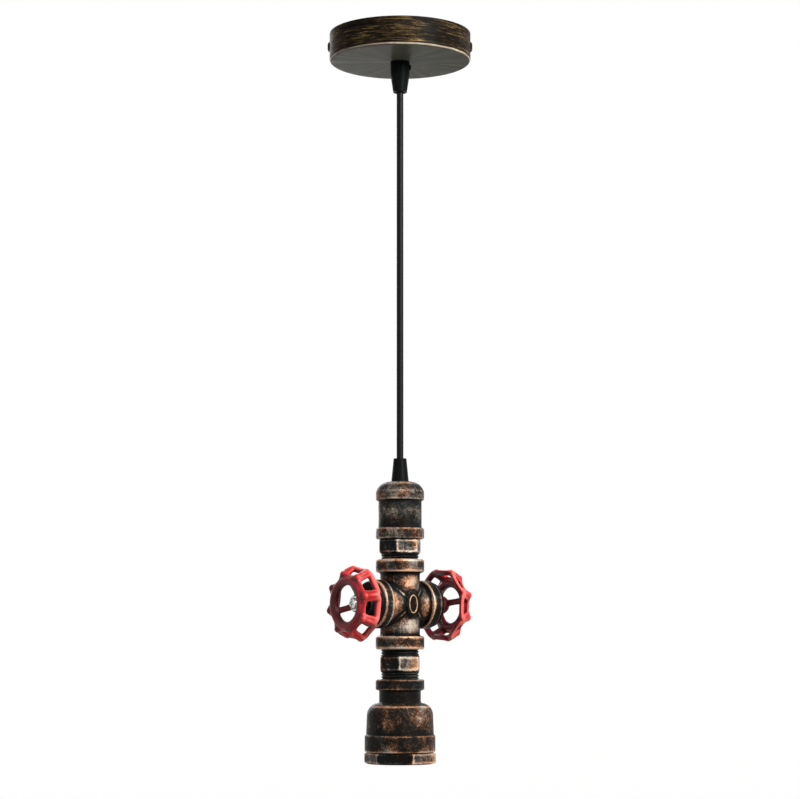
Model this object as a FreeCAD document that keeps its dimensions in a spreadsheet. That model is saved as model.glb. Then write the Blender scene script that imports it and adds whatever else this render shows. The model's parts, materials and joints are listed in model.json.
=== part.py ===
import FreeCAD, Part
import Sketcher
import math
import os
from types import SimpleNamespace

# Steampunk pendant lamp: a ceiling cup, a mains cord and a lamp made of pipe fittings.
# The origin is on the ceiling, where the cord's centre line meets it, and +Z points up.
# The two valve wheels turn about one line along X. All lengths are in millimetres.

# Every driving size: its name, its value and what it measures.
SIZES = [
    ("canopy_diameter", 100.0, "outside of the ceiling cup"),
    ("canopy_height", 20.0, "depth of the ceiling cup"),
    ("canopy_wall", 1.2, "sheet of the ceiling cup"),
    ("canopy_edge_round", 2.0, "rounding of the cup's lower edge"),
    ("strap_yaw", -38.0, "angle of the strap about the cord, from the X axis"),
    ("strap_width", 18.0, "ceiling strap, width"),
    ("strap_thickness", 1.5, "ceiling strap, sheet"),
    ("strap_tab_depth", 13.0, "turned-down tabs of the strap"),
    ("strap_gap", 0.3, "between the strap's corners and the cup"),
    ("ceiling_hole_spacing", 60.0, "between the two ceiling screws"),
    ("ceiling_hole_diameter", 4.5, "holes for the ceiling screws"),
    ("side_screw_drop", 9.0, "side screws below the ceiling"),
    ("side_screw_thread", 4.0, "side screws, thread"),
    ("side_screw_head", 7.0, "side screws, head"),
    ("side_screw_head_height", 1.3, "side screws, height of the head"),
    ("side_screw_length", 4.4, "side screws, length of the shank"),
    ("grip_thread", 10.0, "hollow necks of both cord grips"),
    ("nut_flats", 15.0, "lock nuts, across flats"),
    ("nut_thickness", 2.5, "lock nuts"),
    ("upper_grip_length", 22.0, "upper cord grip below the cup"),
    ("upper_grip_straight", 9.5, "straight part of the upper grip"),
    ("upper_grip_diameter", 13.5, "upper grip at the cup"),
    ("upper_grip_mouth", 9.7, "upper grip at its mouth"),
    ("clamp_screw_drop", 4.0, "clamp screw below the cup"),
    ("clamp_screw_thread", 3.0, "clamp screw, thread"),
    ("clamp_screw_head", 4.2, "clamp screw, head"),
    ("clamp_screw_head_height", 1.1, "clamp screw, height of the head"),
    ("cord_diameter", 4.8, "mains cord"),
    ("cord_room", 0.1, "between the cord and the grips"),
    ("cord_drop", 260.0, "hanging length between the two grips"),
    ("pivot_depth", 2.0, "swing centre above the upper grip's mouth"),
    ("swing_angle", 20.0, "swing to each side"),
    ("end_gap", 0.3, "between the two ends of cord at the swing centre"),
    ("coil_pitch", 5.4, "put-away cord, turn to turn and layer to layer"),
    ("coil_turns", 1.5, "turns in each of the two layers"),
    ("coil_reversal", 0.25, "turns before and after the coil's middle in which it widens slowly"),
    ("coil_start", -68.0, "angle at which the put-away cord leaves the coil for the terminals"),
    ("coil_tail", 14.0, "straight end of the put-away cord, toward the terminals"),
    ("coil_lead_sweep", 52.0, "angle from the coil's upper end to its lead into the grip"),
    ("coil_room", 1.0, "between the put-away cord and the terminal block"),
    ("terminal_room", 0.4, "between the terminal block and the side screws"),
    ("terminal_length", 11.0, "terminal block, away from the cord"),
    ("terminal_width", 17.0, "terminal block, across the strap"),
    ("terminal_height", 9.5, "terminal block, depth below the strap"),
    ("terminal_pitch", 5.5, "between the two terminals"),
    ("terminal_hole", 2.6, "wire holes of the terminal block"),
    ("terminal_hole_drop", 5.2, "wire holes below the strap"),
    ("terminal_screw", 3.0, "screws of the terminal block"),
    ("terminal_screw_spread", 10.2, "between the two screws of one terminal"),
    ("terminal_screw_depth", 4.3, "screw wells of the terminal block"),
    ("core_diameter", 2.0, "insulated cores of the cord"),
    ("lower_grip_length", 16.0, "lower cord grip above the coupling"),
    ("lower_grip_top", 9.0, "lower grip at the cord"),
    ("lower_grip_base", 12.2, "lower grip at the coupling"),
    ("ring_diameter", 33.5, "raised end rings of the fittings"),
    ("pipe_thread", 26.4, "pipe threads of the fittings"),
    ("fit_gap", 0.05, "radial clearance of every thread and seat"),
    ("pipe_bore", 19.0, "bore of the nipples"),
    ("fitting_bore", 22.0, "bore of the cross and of the bell's neck"),
    ("coupling_length", 40.0, "top coupling"),
    ("coupling_body", 30.0, "top coupling between its rings"),
    ("coupling_flat", 13.0, "flat seat on the coupling's dome"),
    ("coupling_dome", 7.0, "height of the coupling's dome"),
    ("coupling_dome_round", 13.0, "radius of the dome's outline"),
    ("coupling_dome_wall", 3.5, "metal above the coupling's chamber"),
    ("coupling_upper_ring", 6.0, "upper ring of the coupling"),
    ("coupling_lower_ring", 7.5, "lower ring of the coupling"),
    ("coupling_thread_depth", 12.5, "thread in the coupling"),
    ("ring_chamfer", 0.8, "edges of the rings"),
    ("hex_flats", 26.6, "hexagons of both nipples"),
    ("hex_chamfer", 1.2, "corners of the hexagons"),
    ("upper_hex_height", 10.0, "hexagon of the upper nipple"),
    ("upper_hex_turn", 43.0, "a corner of the upper hexagon, from the X axis"),
    ("upper_thread_shown", 4.0, "bare thread above the cross"),
    ("nipple_engagement", 9.0, "thread of a nipple inside a fitting"),
    ("cross_height", 62.0, "cross, end to end"),
    ("cross_body", 27.5, "cross between its rings"),
    ("cross_ring", 9.5, "upper and lower rings of the cross"),
    ("cross_arm", 24.5, "side ports of the cross, from the cord's line"),
    ("cross_arm_ring", 8.0, "rings of the side ports"),
    ("cross_boss_width", 10.0, "oval pad on the front and back of the cross"),
    ("cross_boss_height", 16.0, "oval pad, height"),
    ("cross_boss_rise", 1.2, "oval pad, above the body"),
    ("plug_flange", 31.0, "round flange of a side plug"),
    ("plug_flange_height", 3.0, "flange thickness"),
    ("plug_neck", 16.0, "neck round the valve stem"),
    ("plug_neck_height", 3.5, "length of the neck"),
    ("stem_diameter", 8.0, "valve stem"),
    ("stem_room", 0.05, "radial running clearance of the stem"),
    ("stem_collar", 12.4, "collar that holds the stem in its plug"),
    ("stem_collar_height", 2.2, "thickness of the collar"),
    ("stem_end_play", 0.1, "between the collar and the plug"),
    ("stem_tang", 6.0, "square end of the stem, across flats"),
    ("wheel_seat", 33.5, "wheel hub on the stem, from the cord's line"),
    ("hub_length", 5.5, "hub of a hand wheel"),
    ("hub_diameter", 12.0, "hub of a hand wheel"),
    ("wheel_back", 34.8, "back of a hand wheel, from the cord's line"),
    ("wheel_front", 48.4, "front of a hand wheel, from the cord's line"),
    ("wheel_diameter", 55.0, "hand wheel over its back corners"),
    ("wheel_front_diameter", 43.0, "hand wheel over its front corners"),
    ("wheel_side_round", 47.0, "hollow curve of a back side"),
    ("wheel_front_side_round", 48.0, "hollow curve of a front side"),
    ("wheel_knob", 5.4, "round knobs at the front corners"),
    ("wheel_knob_sink", 1.3, "centre of a knob, inside its corner"),
    ("wheel_knob_drop", 0.3, "knobs below the wheel's front"),
    ("wheel_wall", 3.4, "wall of the hand wheel"),
    ("wheel_face", 3.0, "front plate of the hand wheel"),
    ("wheel_eye", 30.0, "round opening in the front plate"),
    ("window_back_gap", 4.2, "window to the back of the wheel"),
    ("window_front_gap", 4.4, "window to the front of the wheel"),
    ("window_back_width", 14.6, "window at the back"),
    ("window_front_width", 11.4, "window at the front"),
    ("spoke_width", 4.8, "spokes"),
    ("spoke_depth", 3.2, "spokes, measured along the stem"),
    ("spoke_root", 1.0, "each end of a spoke, inside the hub or the front plate"),
    ("spoke_sink", 0.3, "spokes below the hub's face and the front plate"),
    ("left_wheel_turn", -9.5, "rest angle of the left wheel about its stem"),
    ("right_wheel_turn", 138.5, "rest angle of the right wheel about its stem"),
    ("washer_diameter", 10.4, "washer under a wheel screw"),
    ("washer_thickness", 0.7, "washer under a wheel screw"),
    ("wheel_screw_thread", 3.6, "wheel screw, thread"),
    ("wheel_screw_length", 8.0, "wheel screw, length of the shank"),
    ("wheel_screw_head", 7.6, "wheel screw, head"),
    ("wheel_screw_head_height", 2.3, "wheel screw, height of the head"),
    ("lower_thread_shown", 4.5, "bare thread below the cross"),
    ("lower_hex_height", 10.5, "hexagon of the lower nipple"),
    ("lower_hex_turn", 50.0, "a corner of the lower hexagon, from the X axis"),
    ("bell_thread_shown", 5.5, "bare thread above the bell"),
    ("bell_height", 49.5, "bell reducer"),
    ("bell_ring_height", 7.5, "top ring of the bell"),
    ("bell_neck", 28.7, "neck of the bell"),
    ("bell_neck_height", 8.5, "neck of the bell, below its ring"),
    ("bell_shoulder", 45.5, "bell below its round shoulder"),
    ("bell_shoulder_round", 8.6, "radius of the shoulder"),
    ("bell_shoulder_drop", 8.5, "height of the shoulder"),
    ("bell_skirt", 46.6, "bell above its mouth ring"),
    ("mouth_ring", 48.6, "ring round the bell's mouth"),
    ("mouth_ring_height", 11.5, "ring round the bell's mouth"),
    ("mouth_thread", 42.0, "thread in the bell's mouth"),
    ("mouth_thread_depth", 12.5, "depth of that thread"),
    ("bell_chamber", 40.8, "chamber inside the bell"),
    ("bell_chamber_top", 27.0, "top of the chamber above the bell's mouth"),
    ("mouth_hex_flats", 43.3, "hexagon of the mouth bushing"),
    ("mouth_hex_height", 8.0, "hexagon of the mouth bushing"),
    ("mouth_hex_turn", 13.0, "a corner of that hexagon, from the X axis"),
    ("bushing_engagement", 12.0, "thread of the bushing inside the bell"),
    ("bushing_bore", 38.6, "bore of the mouth bushing"),
    ("holder_recess", 1.5, "lampholder above the bushing's lower face"),
    ("holder_diameter", 37.8, "lampholder"),
    ("holder_collar", 40.4, "collar that rests on the bushing"),
    ("holder_collar_height", 3.0, "collar, thickness"),
    ("holder_crown", 34.0, "lampholder above its collar"),
    ("holder_height", 29.0, "lampholder"),
    ("holder_floor", 5.0, "insulation behind the lamp's cap"),
    ("shell_thread", 26.6, "screw shell for the lamp's cap, inside"),
    ("shell_wall", 0.5, "sheet of the screw shell"),
    ("shell_start", 2.5, "screw shell above the lampholder's mouth"),
    ("shell_height", 18.5, "screw shell"),
    ("shell_round", 1.5, "drawn corner of the screw shell, outside"),
    ("shell_eye", 20.0, "opening in the shell's turned-in end"),
    ("contact_diameter", 7.0, "rivet of the centre contact"),
    ("contact_thickness", 0.6, "sheet of the centre contact"),
    ("contact_width", 5.0, "tongue of the centre contact"),
    ("contact_length", 9.0, "tongue of the centre contact"),
    ("contact_lift", 12.0, "angle of the tongue"),
    ("holder_screw_offset", 8.0, "terminal screws of the lampholder, from the centre"),
    ("sheath_end_drop", 138.0, "end of the cord's sheath below the lower grip's top"),
]
WHEEL_WINDOWS = 8
WHEEL_SPOKES = 3
HEX_SIDES = 6
COIL_STATIONS = 4  # to each turn of the put-away cord
HEAD_EDGE = 0.45  # straight part of a screw head's height
HEAD_TOP = 0.64  # flat part of a screw head's width
THROUGH = 1.2  # length of a drill, against what it passes through

doc = FreeCAD.newDocument("pendant_lamp")
sheet = doc.addObject("Spreadsheet::Sheet", "sizes")


class Size:
    """A number together with the sheet expression that gives it."""

    def __init__(self, number, text):
        self.number = float(number)
        self.text = text

    def __add__(self, other):
        other = as_size(other)
        return Size(self.number + other.number, f"({self.text} + {other.text})")

    def __sub__(self, other):
        other = as_size(other)
        return Size(self.number - other.number, f"({self.text} - {other.text})")

    def __mul__(self, other):
        other = as_size(other)
        return Size(self.number * other.number, f"({self.text} * {other.text})")

    def __truediv__(self, other):
        other = as_size(other)
        return Size(self.number / other.number, f"({self.text} / {other.text})")

    def __neg__(self):
        return Size(-self.number, f"(0 - {self.text})")

    def cos(self):
        return Size(math.cos(math.radians(self.number)), f"cos({self.text})")

    def sin(self):
        return Size(math.sin(math.radians(self.number)), f"sin({self.text})")

    def tan(self):
        return Size(math.tan(math.radians(self.number)), f"tan({self.text})")


def as_size(value):
    """Give a plain number the form of a Size."""
    if isinstance(value, Size):
        return value
    return Size(value, repr(float(value)))


def fill_sheet():
    """Write every driving size into the sheet and return them all by name."""
    named = {}
    for row, (alias, value, meaning) in enumerate(SIZES, start=1):
        sheet.set(f"A{row}", meaning)
        sheet.set(f"B{row}", str(value))
        sheet.setAlias(f"B{row}", alias)
        named[alias] = Size(value, f"sizes.{alias}")
    doc.recompute()
    return SimpleNamespace(**named)


s = fill_sheet()
ZERO = Size(0.0, "0")
UP = FreeCAD.Vector(0, 0, 1)
pieces = {}


def bind(item, path, size):
    """Tie one property of an object to the sheet."""
    item.setExpression(path, as_size(size).text)


def place(item, at=(ZERO, ZERO, ZERO), rotation=None):
    """Turn an object and put its origin at a point that follows the sheet."""
    if rotation is not None:
        item.Placement = FreeCAD.Placement(FreeCAD.Vector(0, 0, 0), rotation)
    for axis, size in zip("xyz", at):
        if size is not ZERO:
            bind(item, f"Placement.Base.{axis}", size)
    return item


def keep(name, item):
    """Name a finished piece and list it for the output."""
    item.Label = name
    pieces[name] = item
    return item


def origin_feature(body, role):
    """Find one of a body's own origin planes or axes."""
    return next(f for f in body.Origin.OriginFeatures if f.Role == role)


def new_sketch(body, name, plane, height=ZERO):
    """Start a sketch on one of the body's origin planes, or at a height above it."""
    sketch = body.newObject("Sketcher::SketchObject", name)
    sketch.AttachmentSupport = [(origin_feature(body, plane), "")]
    sketch.MapMode = "FlatFace"
    if height is not ZERO:
        bind(sketch, "AttachmentOffset.Base.z", height)
    return sketch


def hold(sketch, kind, side, end, size, name):
    """Fix one coordinate of a corner to the sheet, or to an axis where it is zero."""
    if size is ZERO:
        axis = -2 if kind == "DistanceX" else -1
        sketch.addConstraint(Sketcher.Constraint("PointOnObject", side, end, axis))
        return
    index = sketch.addConstraint(Sketcher.Constraint(kind, -1, 1, side, end, size.number))
    sketch.renameConstraint(index, name)
    sketch.setExpression(f"Constraints.{name}", size.text)


def arc_between(start, end, radius):
    """Return the arc from start to end and whether it runs backwards.

    A positive radius bulges to the right of the way from start to end, a negative one to the left.
    """
    chord = end - start
    across = FreeCAD.Vector(-chord.y, chord.x, 0).normalize()
    depth = math.sqrt(radius**2 - (chord.Length / 2) ** 2)
    centre = (start + end) * 0.5 + across * math.copysign(depth, radius)
    first = math.atan2(start.y - centre.y, start.x - centre.x)
    last = math.atan2(end.y - centre.y, end.x - centre.x)
    circle = Part.Circle(centre, UP, abs(radius))
    if radius > 0:
        return Part.ArcOfCircle(circle, first, last), False
    return Part.ArcOfCircle(circle, last, first), True


def outline(sketch, corners, arcs=None):
    """Draw a closed outline whose corners follow the sheet.

    arcs maps the number of a side to its radius, signed as in arc_between.
    """
    arcs = arcs or {}
    vectors = [FreeCAD.Vector(a.number, b.number, 0) for a, b in corners]
    count = len(corners)
    ends = []
    for side in range(count):
        start = vectors[side]
        end = vectors[(side + 1) % count]
        if side in arcs:
            shape, backwards = arc_between(start, end, arcs[side].number)
            sketch.addGeometry(shape, False)
            ends.append((2, 1) if backwards else (1, 2))
        else:
            sketch.addGeometry(Part.LineSegment(start, end), False)
            ends.append((1, 2))
    for side in range(count):
        following = (side + 1) % count
        joint = Sketcher.Constraint("Coincident", side, ends[side][1], following, ends[following][0])
        sketch.addConstraint(joint)
    for side, (across, along) in enumerate(corners):
        hold(sketch, "DistanceX", side, ends[side][0], across, f"across{side}")
        hold(sketch, "DistanceY", side, ends[side][0], along, f"along{side}")
    for side, radius in arcs.items():
        size = radius if radius.number > 0 else -radius
        index = sketch.addConstraint(Sketcher.Constraint("Radius", side, size.number))
        sketch.renameConstraint(index, f"round{side}")
        sketch.setExpression(f"Constraints.round{side}", size.text)
    return sketch


def new_body(name):
    return doc.addObject("PartDesign::Body", name)


def revolve(body, name, corners, arcs=None, kind="PartDesign::Revolution"):
    """Turn an outline of (radius, height) corners about the body's own Z axis."""
    sketch = outline(new_sketch(body, f"{name}_outline", "XZ_Plane"), corners, arcs)
    turn = body.newObject(kind, f"{name}_turn")
    turn.Profile = sketch
    turn.ReferenceAxis = (sketch, ["V_Axis"])
    turn.Angle = 360
    return turn


def turned(name, corners, arcs=None):
    """Make a body that is one turned piece."""
    body = new_body(name)
    revolve(body, name, corners, arcs)
    return body


def cylinder(name, radius, height, at=(ZERO, ZERO, ZERO), rotation=None):
    item = doc.addObject("Part::Cylinder", name)
    bind(item, "Radius", radius)
    bind(item, "Height", height)
    return place(item, at, rotation)


def ball(name, radius, at):
    item = doc.addObject("Part::Sphere", name)
    bind(item, "Radius", radius)
    return place(item, at)


def box(name, sides, at=(ZERO, ZERO, ZERO), rotation=None):
    item = doc.addObject("Part::Box", name)
    for path, size in zip(("Length", "Width", "Height"), sides):
        bind(item, path, size)
    return place(item, at, rotation)


def prism(name, flats, height, at=(ZERO, ZERO, ZERO), rotation=None):
    """Make a hexagonal prism with a corner on its own X axis."""
    item = doc.addObject("Part::Prism", name)
    item.Polygon = HEX_SIDES
    bind(item, "Circumradius", flats / (as_size(180 / HEX_SIDES).cos() * 2))
    bind(item, "Height", height)
    return place(item, at, rotation)


def cut(name, base, tool):
    item = doc.addObject("Part::Cut", name)
    item.Base = base
    item.Tool = tool
    item.Refine = True
    return item


def fuse(name, *parts):
    item = doc.addObject("Part::MultiFuse", name)
    item.Shapes = list(parts)
    item.Refine = True
    return item


def common(name, *parts):
    item = doc.addObject("Part::MultiCommon", name)
    item.Shapes = list(parts)
    item.Refine = True
    return item


def group(name, *parts):
    item = doc.addObject("Part::Compound", name)
    item.Links = list(parts)
    return item


def screw(name, thread, length, head, head_height):
    """Turn a low pan-head screw whose head rests at the height of its shank's length."""
    top = length + head_height
    return turned(name, [
        (ZERO, ZERO),
        (thread / 2, ZERO),
        (thread / 2, length),
        (head / 2, length),
        (head / 2, length + head_height * HEAD_EDGE),
        (head / 2 * HEAD_TOP, top),
        (ZERO, top),
    ])


def turn_about(axis, angle):
    return FreeCAD.Rotation(FreeCAD.Vector(*axis), angle)


YAW = turn_about((0, 0, 1), s.strap_yaw.number)
TO_RIGHT = turn_about((0, 1, 0), 90)
TO_LEFT = turn_about((0, 1, 0), -90)
UPSIDE_DOWN = turn_about((1, 0, 0), 180)

# Heights of the seats between the pieces, from the ceiling down.
grip_mouth_z = -(s.canopy_height + s.upper_grip_length)
pivot_z = grip_mouth_z + s.pivot_depth
neck_top_z = s.canopy_wall + s.nut_thickness + s.end_gap - s.canopy_height
lamp_top_z = grip_mouth_z - s.cord_drop
coupling_top_z = lamp_top_z - s.lower_grip_length
coupling_base_z = coupling_top_z - s.coupling_length
upper_hex_z = coupling_base_z - s.upper_hex_height
cross_top_z = upper_hex_z - s.upper_thread_shown
cross_base_z = cross_top_z - s.cross_height
wheel_axis_z = cross_top_z - s.cross_height / 2
lower_hex_z = cross_base_z - s.lower_thread_shown - s.lower_hex_height
bell_top_z = lower_hex_z - s.bell_thread_shown
bell_mouth_z = bell_top_z - s.bell_height
lamp_base_z = bell_mouth_z - s.mouth_hex_height

# Radii shared by pieces that fit together.
cord_radius = s.cord_diameter / 2
grip_bore = cord_radius + s.cord_room
neck_radius = s.grip_thread / 2 - s.fit_gap
neck_hole = s.grip_thread / 2
ring_radius = s.ring_diameter / 2
male_radius = s.pipe_thread / 2
female_radius = male_radius + s.fit_gap
cup_inside = s.canopy_diameter / 2 - s.canopy_wall

# Distances along the strap: the terminal block clears the side screws, and the coil clears the block.
terminal_start = s.canopy_diameter / 2 - s.side_screw_length - s.terminal_room - s.terminal_length
terminal_middle = terminal_start + s.terminal_length / 2
coil_spread = s.coil_pitch * (s.coil_turns + s.coil_reversal / 2)
coil_radius = terminal_start - s.coil_room - cord_radius - coil_spread
terminal_level = s.strap_thickness + s.terminal_hole_drop


def along_strap(distance, drop):
    """Give the point at a distance along the strap and a drop below the ceiling."""
    return (s.strap_yaw.cos() * distance, s.strap_yaw.sin() * distance, -drop)


def toward_strap_end(side):
    """Give the rotation that lays a piece's own Z axis along the strap, outwards at one end."""
    return YAW.multiply(TO_RIGHT if side > 0 else TO_LEFT)


def make_canopy_cup():
    """A shallow turned cup with a round lower edge, a centre hole and two holes in its side."""
    radius = s.canopy_diameter / 2
    body = turned("cup_shell", [
        (neck_hole + s.fit_gap, ZERO),
        (radius - s.canopy_edge_round, ZERO),
        (radius, s.canopy_edge_round),
        (radius, s.canopy_height),
        (cup_inside, s.canopy_height),
        (cup_inside, s.canopy_wall),
        (neck_hole + s.fit_gap, s.canopy_wall),
    ], {1: s.canopy_edge_round})
    place(body, (ZERO, ZERO, -s.canopy_height))
    drill = cylinder("cup_side_drill", s.side_screw_thread / 2 + s.fit_gap, radius * 2 * THROUGH,
                     along_strap(-radius * THROUGH, s.side_screw_drop), toward_strap_end(1))
    keep("canopy_cup", cut("canopy_cup", body, drill))


def make_bracket():
    """A flat strap under the ceiling with a turned-down tab at each end."""
    corner = cup_inside - s.strap_gap
    reach_number = math.sqrt(corner.number**2 - (s.strap_width.number / 2) ** 2)
    reach = Size(reach_number, f"sqrt({corner.text} ^ 2 - ({s.strap_width.text} / 2) ^ 2)")
    plate = box("strap_plate", (reach * 2, s.strap_width, s.strap_thickness),
                (-reach, -s.strap_width / 2, -s.strap_thickness))
    tabs = []
    for side, start in ((1, reach - s.strap_thickness), (-1, -reach)):
        tabs.append(box(f"strap_tab_{'right' if side > 0 else 'left'}",
                        (s.strap_thickness, s.strap_width, s.strap_tab_depth),
                        (start, -s.strap_width / 2, -s.strap_tab_depth)))
    drills = [cylinder("strap_side_drill", s.side_screw_thread / 2, reach * 2 * THROUGH,
                       (-reach * THROUGH, ZERO, -s.side_screw_drop), TO_RIGHT)]
    depth = s.strap_thickness * THROUGH
    for side in (1, -1):
        drills.append(cylinder(f"strap_ceiling_drill_{side + 1}", s.ceiling_hole_diameter / 2, depth * 2,
                               (s.ceiling_hole_spacing / 2 * side, ZERO, -depth)))
    drills.append(cylinder("strap_block_drill", s.clamp_screw_thread / 2, depth * 2,
                           (terminal_middle, ZERO, -depth)))
    bracket = cut("ceiling_bracket", fuse("strap_blank", plate, *tabs), fuse("strap_drills", *drills))
    bracket.Placement = FreeCAD.Placement(FreeCAD.Vector(0, 0, 0), YAW)
    keep("ceiling_bracket", bracket)


def make_side_screws():
    """Two low screws through the cup's side into the strap's tabs."""
    screws = []
    for side in (1, -1):
        item = screw(f"side_screw_{side + 1}", s.side_screw_thread - s.fit_gap * 2, s.side_screw_length,
                     s.side_screw_head, s.side_screw_head_height)
        start = (s.canopy_diameter / 2 - s.side_screw_length) * side
        screws.append(place(item, along_strap(start, s.side_screw_drop), toward_strap_end(side)))
    keep("canopy_side_screws", group("canopy_side_screws", *screws))


def terminal_line(side):
    """Give the distance along the strap of one of the two terminals."""
    return terminal_middle + s.terminal_pitch / 2 * side


def make_terminal_block():
    """A two-way screw terminal that hangs below one end of the strap."""
    across = turn_about((1, 0, 0), -90)
    base = -(s.strap_thickness + s.terminal_height)
    block = box("terminal_blank", (s.terminal_length, s.terminal_width, s.terminal_height),
                (terminal_start, -s.terminal_width / 2, base))
    holes = []
    screws = []
    for side in (1, -1):
        line = terminal_line(side)
        holes.append(cylinder(f"terminal_drill_{side + 1}", s.terminal_hole / 2,
                              s.terminal_width * THROUGH,
                              (line, -s.terminal_width / 2 * THROUGH, -terminal_level), across))
        for end in (1, -1):
            tag = f"{side + 1}_{end + 1}"
            along = s.terminal_screw_spread / 2 * end
            holes.append(cylinder(f"terminal_well_{tag}", s.terminal_screw / 2 + s.fit_gap,
                                  s.terminal_screw_depth, (line, along, base)))
            screws.append(cylinder(f"terminal_clamp_{tag}", s.terminal_screw / 2,
                                   s.terminal_screw_depth - s.end_gap,
                                   (line, along, base + s.end_gap)))
    holes.append(cylinder("terminal_fixing_drill", s.clamp_screw_thread / 2,
                          s.terminal_height * THROUGH, (terminal_middle, ZERO, base)))
    block = cut("terminal_block", block, fuse("terminal_holes", *holes))
    block.Placement = FreeCAD.Placement(FreeCAD.Vector(0, 0, 0), YAW)
    keep("terminal_block", block)
    clamps = group("terminal_clamp_screws", *screws)
    clamps.Placement = FreeCAD.Placement(FreeCAD.Vector(0, 0, 0), YAW)
    keep("terminal_clamp_screws", clamps)
    fixing = screw("terminal_fixing_screw", s.clamp_screw_thread - s.fit_gap * 2,
                   s.terminal_height + s.strap_thickness, s.clamp_screw_head, s.clamp_screw_head_height)
    place(fixing, along_strap(terminal_middle, ZERO), UPSIDE_DOWN)
    keep("terminal_fixing_screw", fixing)


def make_upper_grip():
    """A tapered plastic grip whose mouth widens so that the cord can swing."""
    flare_top = (cord_radius / s.swing_angle.cos() + s.cord_room - grip_bore) / s.swing_angle.tan()
    flare = cord_radius / s.swing_angle.cos() + s.cord_room + s.swing_angle.tan() * s.pivot_depth
    neck_top = neck_top_z - grip_mouth_z
    straight = s.upper_grip_length - s.upper_grip_straight
    body = turned("upper_grip_body", [
        (flare, ZERO),
        (s.upper_grip_mouth / 2, ZERO),
        (s.upper_grip_diameter / 2, straight),
        (s.upper_grip_diameter / 2, s.upper_grip_length),
        (neck_radius, s.upper_grip_length),
        (neck_radius, neck_top),
        (grip_bore, neck_top),
        (grip_bore, s.pivot_depth + flare_top),
    ])
    place(body, (ZERO, ZERO, grip_mouth_z))
    drop = s.canopy_height + s.clamp_screw_drop
    drill = cylinder("grip_clamp_drill", s.clamp_screw_thread / 2, s.upper_grip_diameter,
                     (ZERO, ZERO, -drop), toward_strap_end(1))
    keep("upper_cord_grip", cut("upper_cord_grip", body, drill))
    reach = s.upper_grip_diameter / 2 - grip_bore
    clamp = screw("upper_grip_screw", s.clamp_screw_thread - s.fit_gap * 2, reach,
                  s.clamp_screw_head, s.clamp_screw_head_height)
    keep("upper_grip_screw", place(clamp, along_strap(grip_bore, drop), toward_strap_end(1)))


def make_lock_nut(name, base_z):
    nut = cut(name, prism(f"{name}_blank", s.nut_flats, s.nut_thickness),
              cylinder(f"{name}_bore", neck_hole, s.nut_thickness))
    keep(name, place(nut, (ZERO, ZERO, base_z)))


def make_straight_cord(name, low_z, high_z):
    keep(name, cylinder(name, cord_radius, high_z - low_z, (ZERO, ZERO, low_z)))


def make_hanging_cord():
    """The taut stretch of cord, with a round upper end that turns inside the grip's mouth."""
    length = pivot_z - lamp_top_z
    body = turned("hanging_cord", [
        (ZERO, ZERO),
        (cord_radius, ZERO),
        (cord_radius, length),
        (ZERO, length + cord_radius),
    ], {2: cord_radius})
    keep("hanging_cord", place(body, (ZERO, ZERO, lamp_top_z)))


def biarc(start, start_way, end, end_way):
    """Join two points by two arcs that touch, leaving and arriving in the given directions."""
    gap = end - start
    ways = start_way + end_way
    spread = 2 * (1 - start_way.dot(end_way))
    along = gap.dot(ways)
    if spread < 1e-9:
        reach = gap.dot(gap) / (2 * along)
    else:
        reach = (math.sqrt(along**2 + spread * gap.dot(gap)) - along) / spread
    middle = (start + start_way * reach + end - end_way * reach) * 0.5
    return [arc_from(start, start_way, middle), arc_to(middle, end, end_way)]


def arc_from(start, way, end):
    """Give the arc that leaves start in one direction and ends at a point."""
    chord = end - start
    unit = FreeCAD.Vector(chord).normalize()
    way = FreeCAD.Vector(way).normalize()
    end_way = unit * (2 * way.dot(unit)) - way
    bend = way.getAngle(end_way)
    if bend < 1e-6:
        return Part.makeLine(start, end)
    side = (way - end_way).normalize()
    rise = chord.Length / 2 * math.tan(bend / 4)
    return Part.Arc(start, (start + end) * 0.5 + side * rise, end).toShape()


def arc_to(start, end, way):
    """Give the arc that arrives at end in one direction."""
    mirrored = arc_from(end, FreeCAD.Vector(way) * -1, start)
    return Part.Edge(mirrored.Curve, mirrored.FirstParameter, mirrored.LastParameter)


def tube(stations, radius):
    """Carry a round section along the arcs that join the stations, each a point and a direction."""
    edges = []
    for (start, start_way), (end, end_way) in zip(stations, stations[1:]):
        leaving = FreeCAD.Vector(start_way).normalize()
        arriving = FreeCAD.Vector(end_way).normalize()
        edges += biarc(start, leaving, end, arriving)
    path = Part.Wire(Part.__sortEdges__(edges))
    section = Part.Wire(Part.makeCircle(radius, stations[0][0], stations[0][1]))
    return path.makePipeShell([section], True, False), path


def smooth_step(share):
    """Rise from 0 to 1 with level ends."""
    share = min(1.0, max(0.0, share))
    return share * share * (3 - 2 * share)


def coil_station(turn, last_turn):
    """Give the coil's centre line at a number of turns after its middle.

    The lower layer winds in and the upper one winds out, clockwise from above. The line climbs one
    layer at its middle, where it turns outward again, and one more at its upper end, where it leaves
    over the coil.
    """
    pitch = s.coil_pitch.number
    slow = s.coil_reversal.number
    widening = abs(turn) - slow / 2 if abs(turn) > slow else turn * turn / (2 * slow)
    radius = coil_radius.number + pitch * widening
    base = s.canopy_wall.number - s.canopy_height.number + cord_radius.number + s.cord_room.number
    first_climb = smooth_step((turn + slow) / (2 * slow))
    second_climb = smooth_step((turn - last_turn + 2 * slow) / (2 * slow))
    level = base + pitch * (first_climb + second_climb)
    angle = math.radians(s.coil_start.number) - 2 * math.pi * (turn + last_turn)
    return FreeCAD.Vector(radius * math.cos(angle), radius * math.sin(angle), level)


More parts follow.
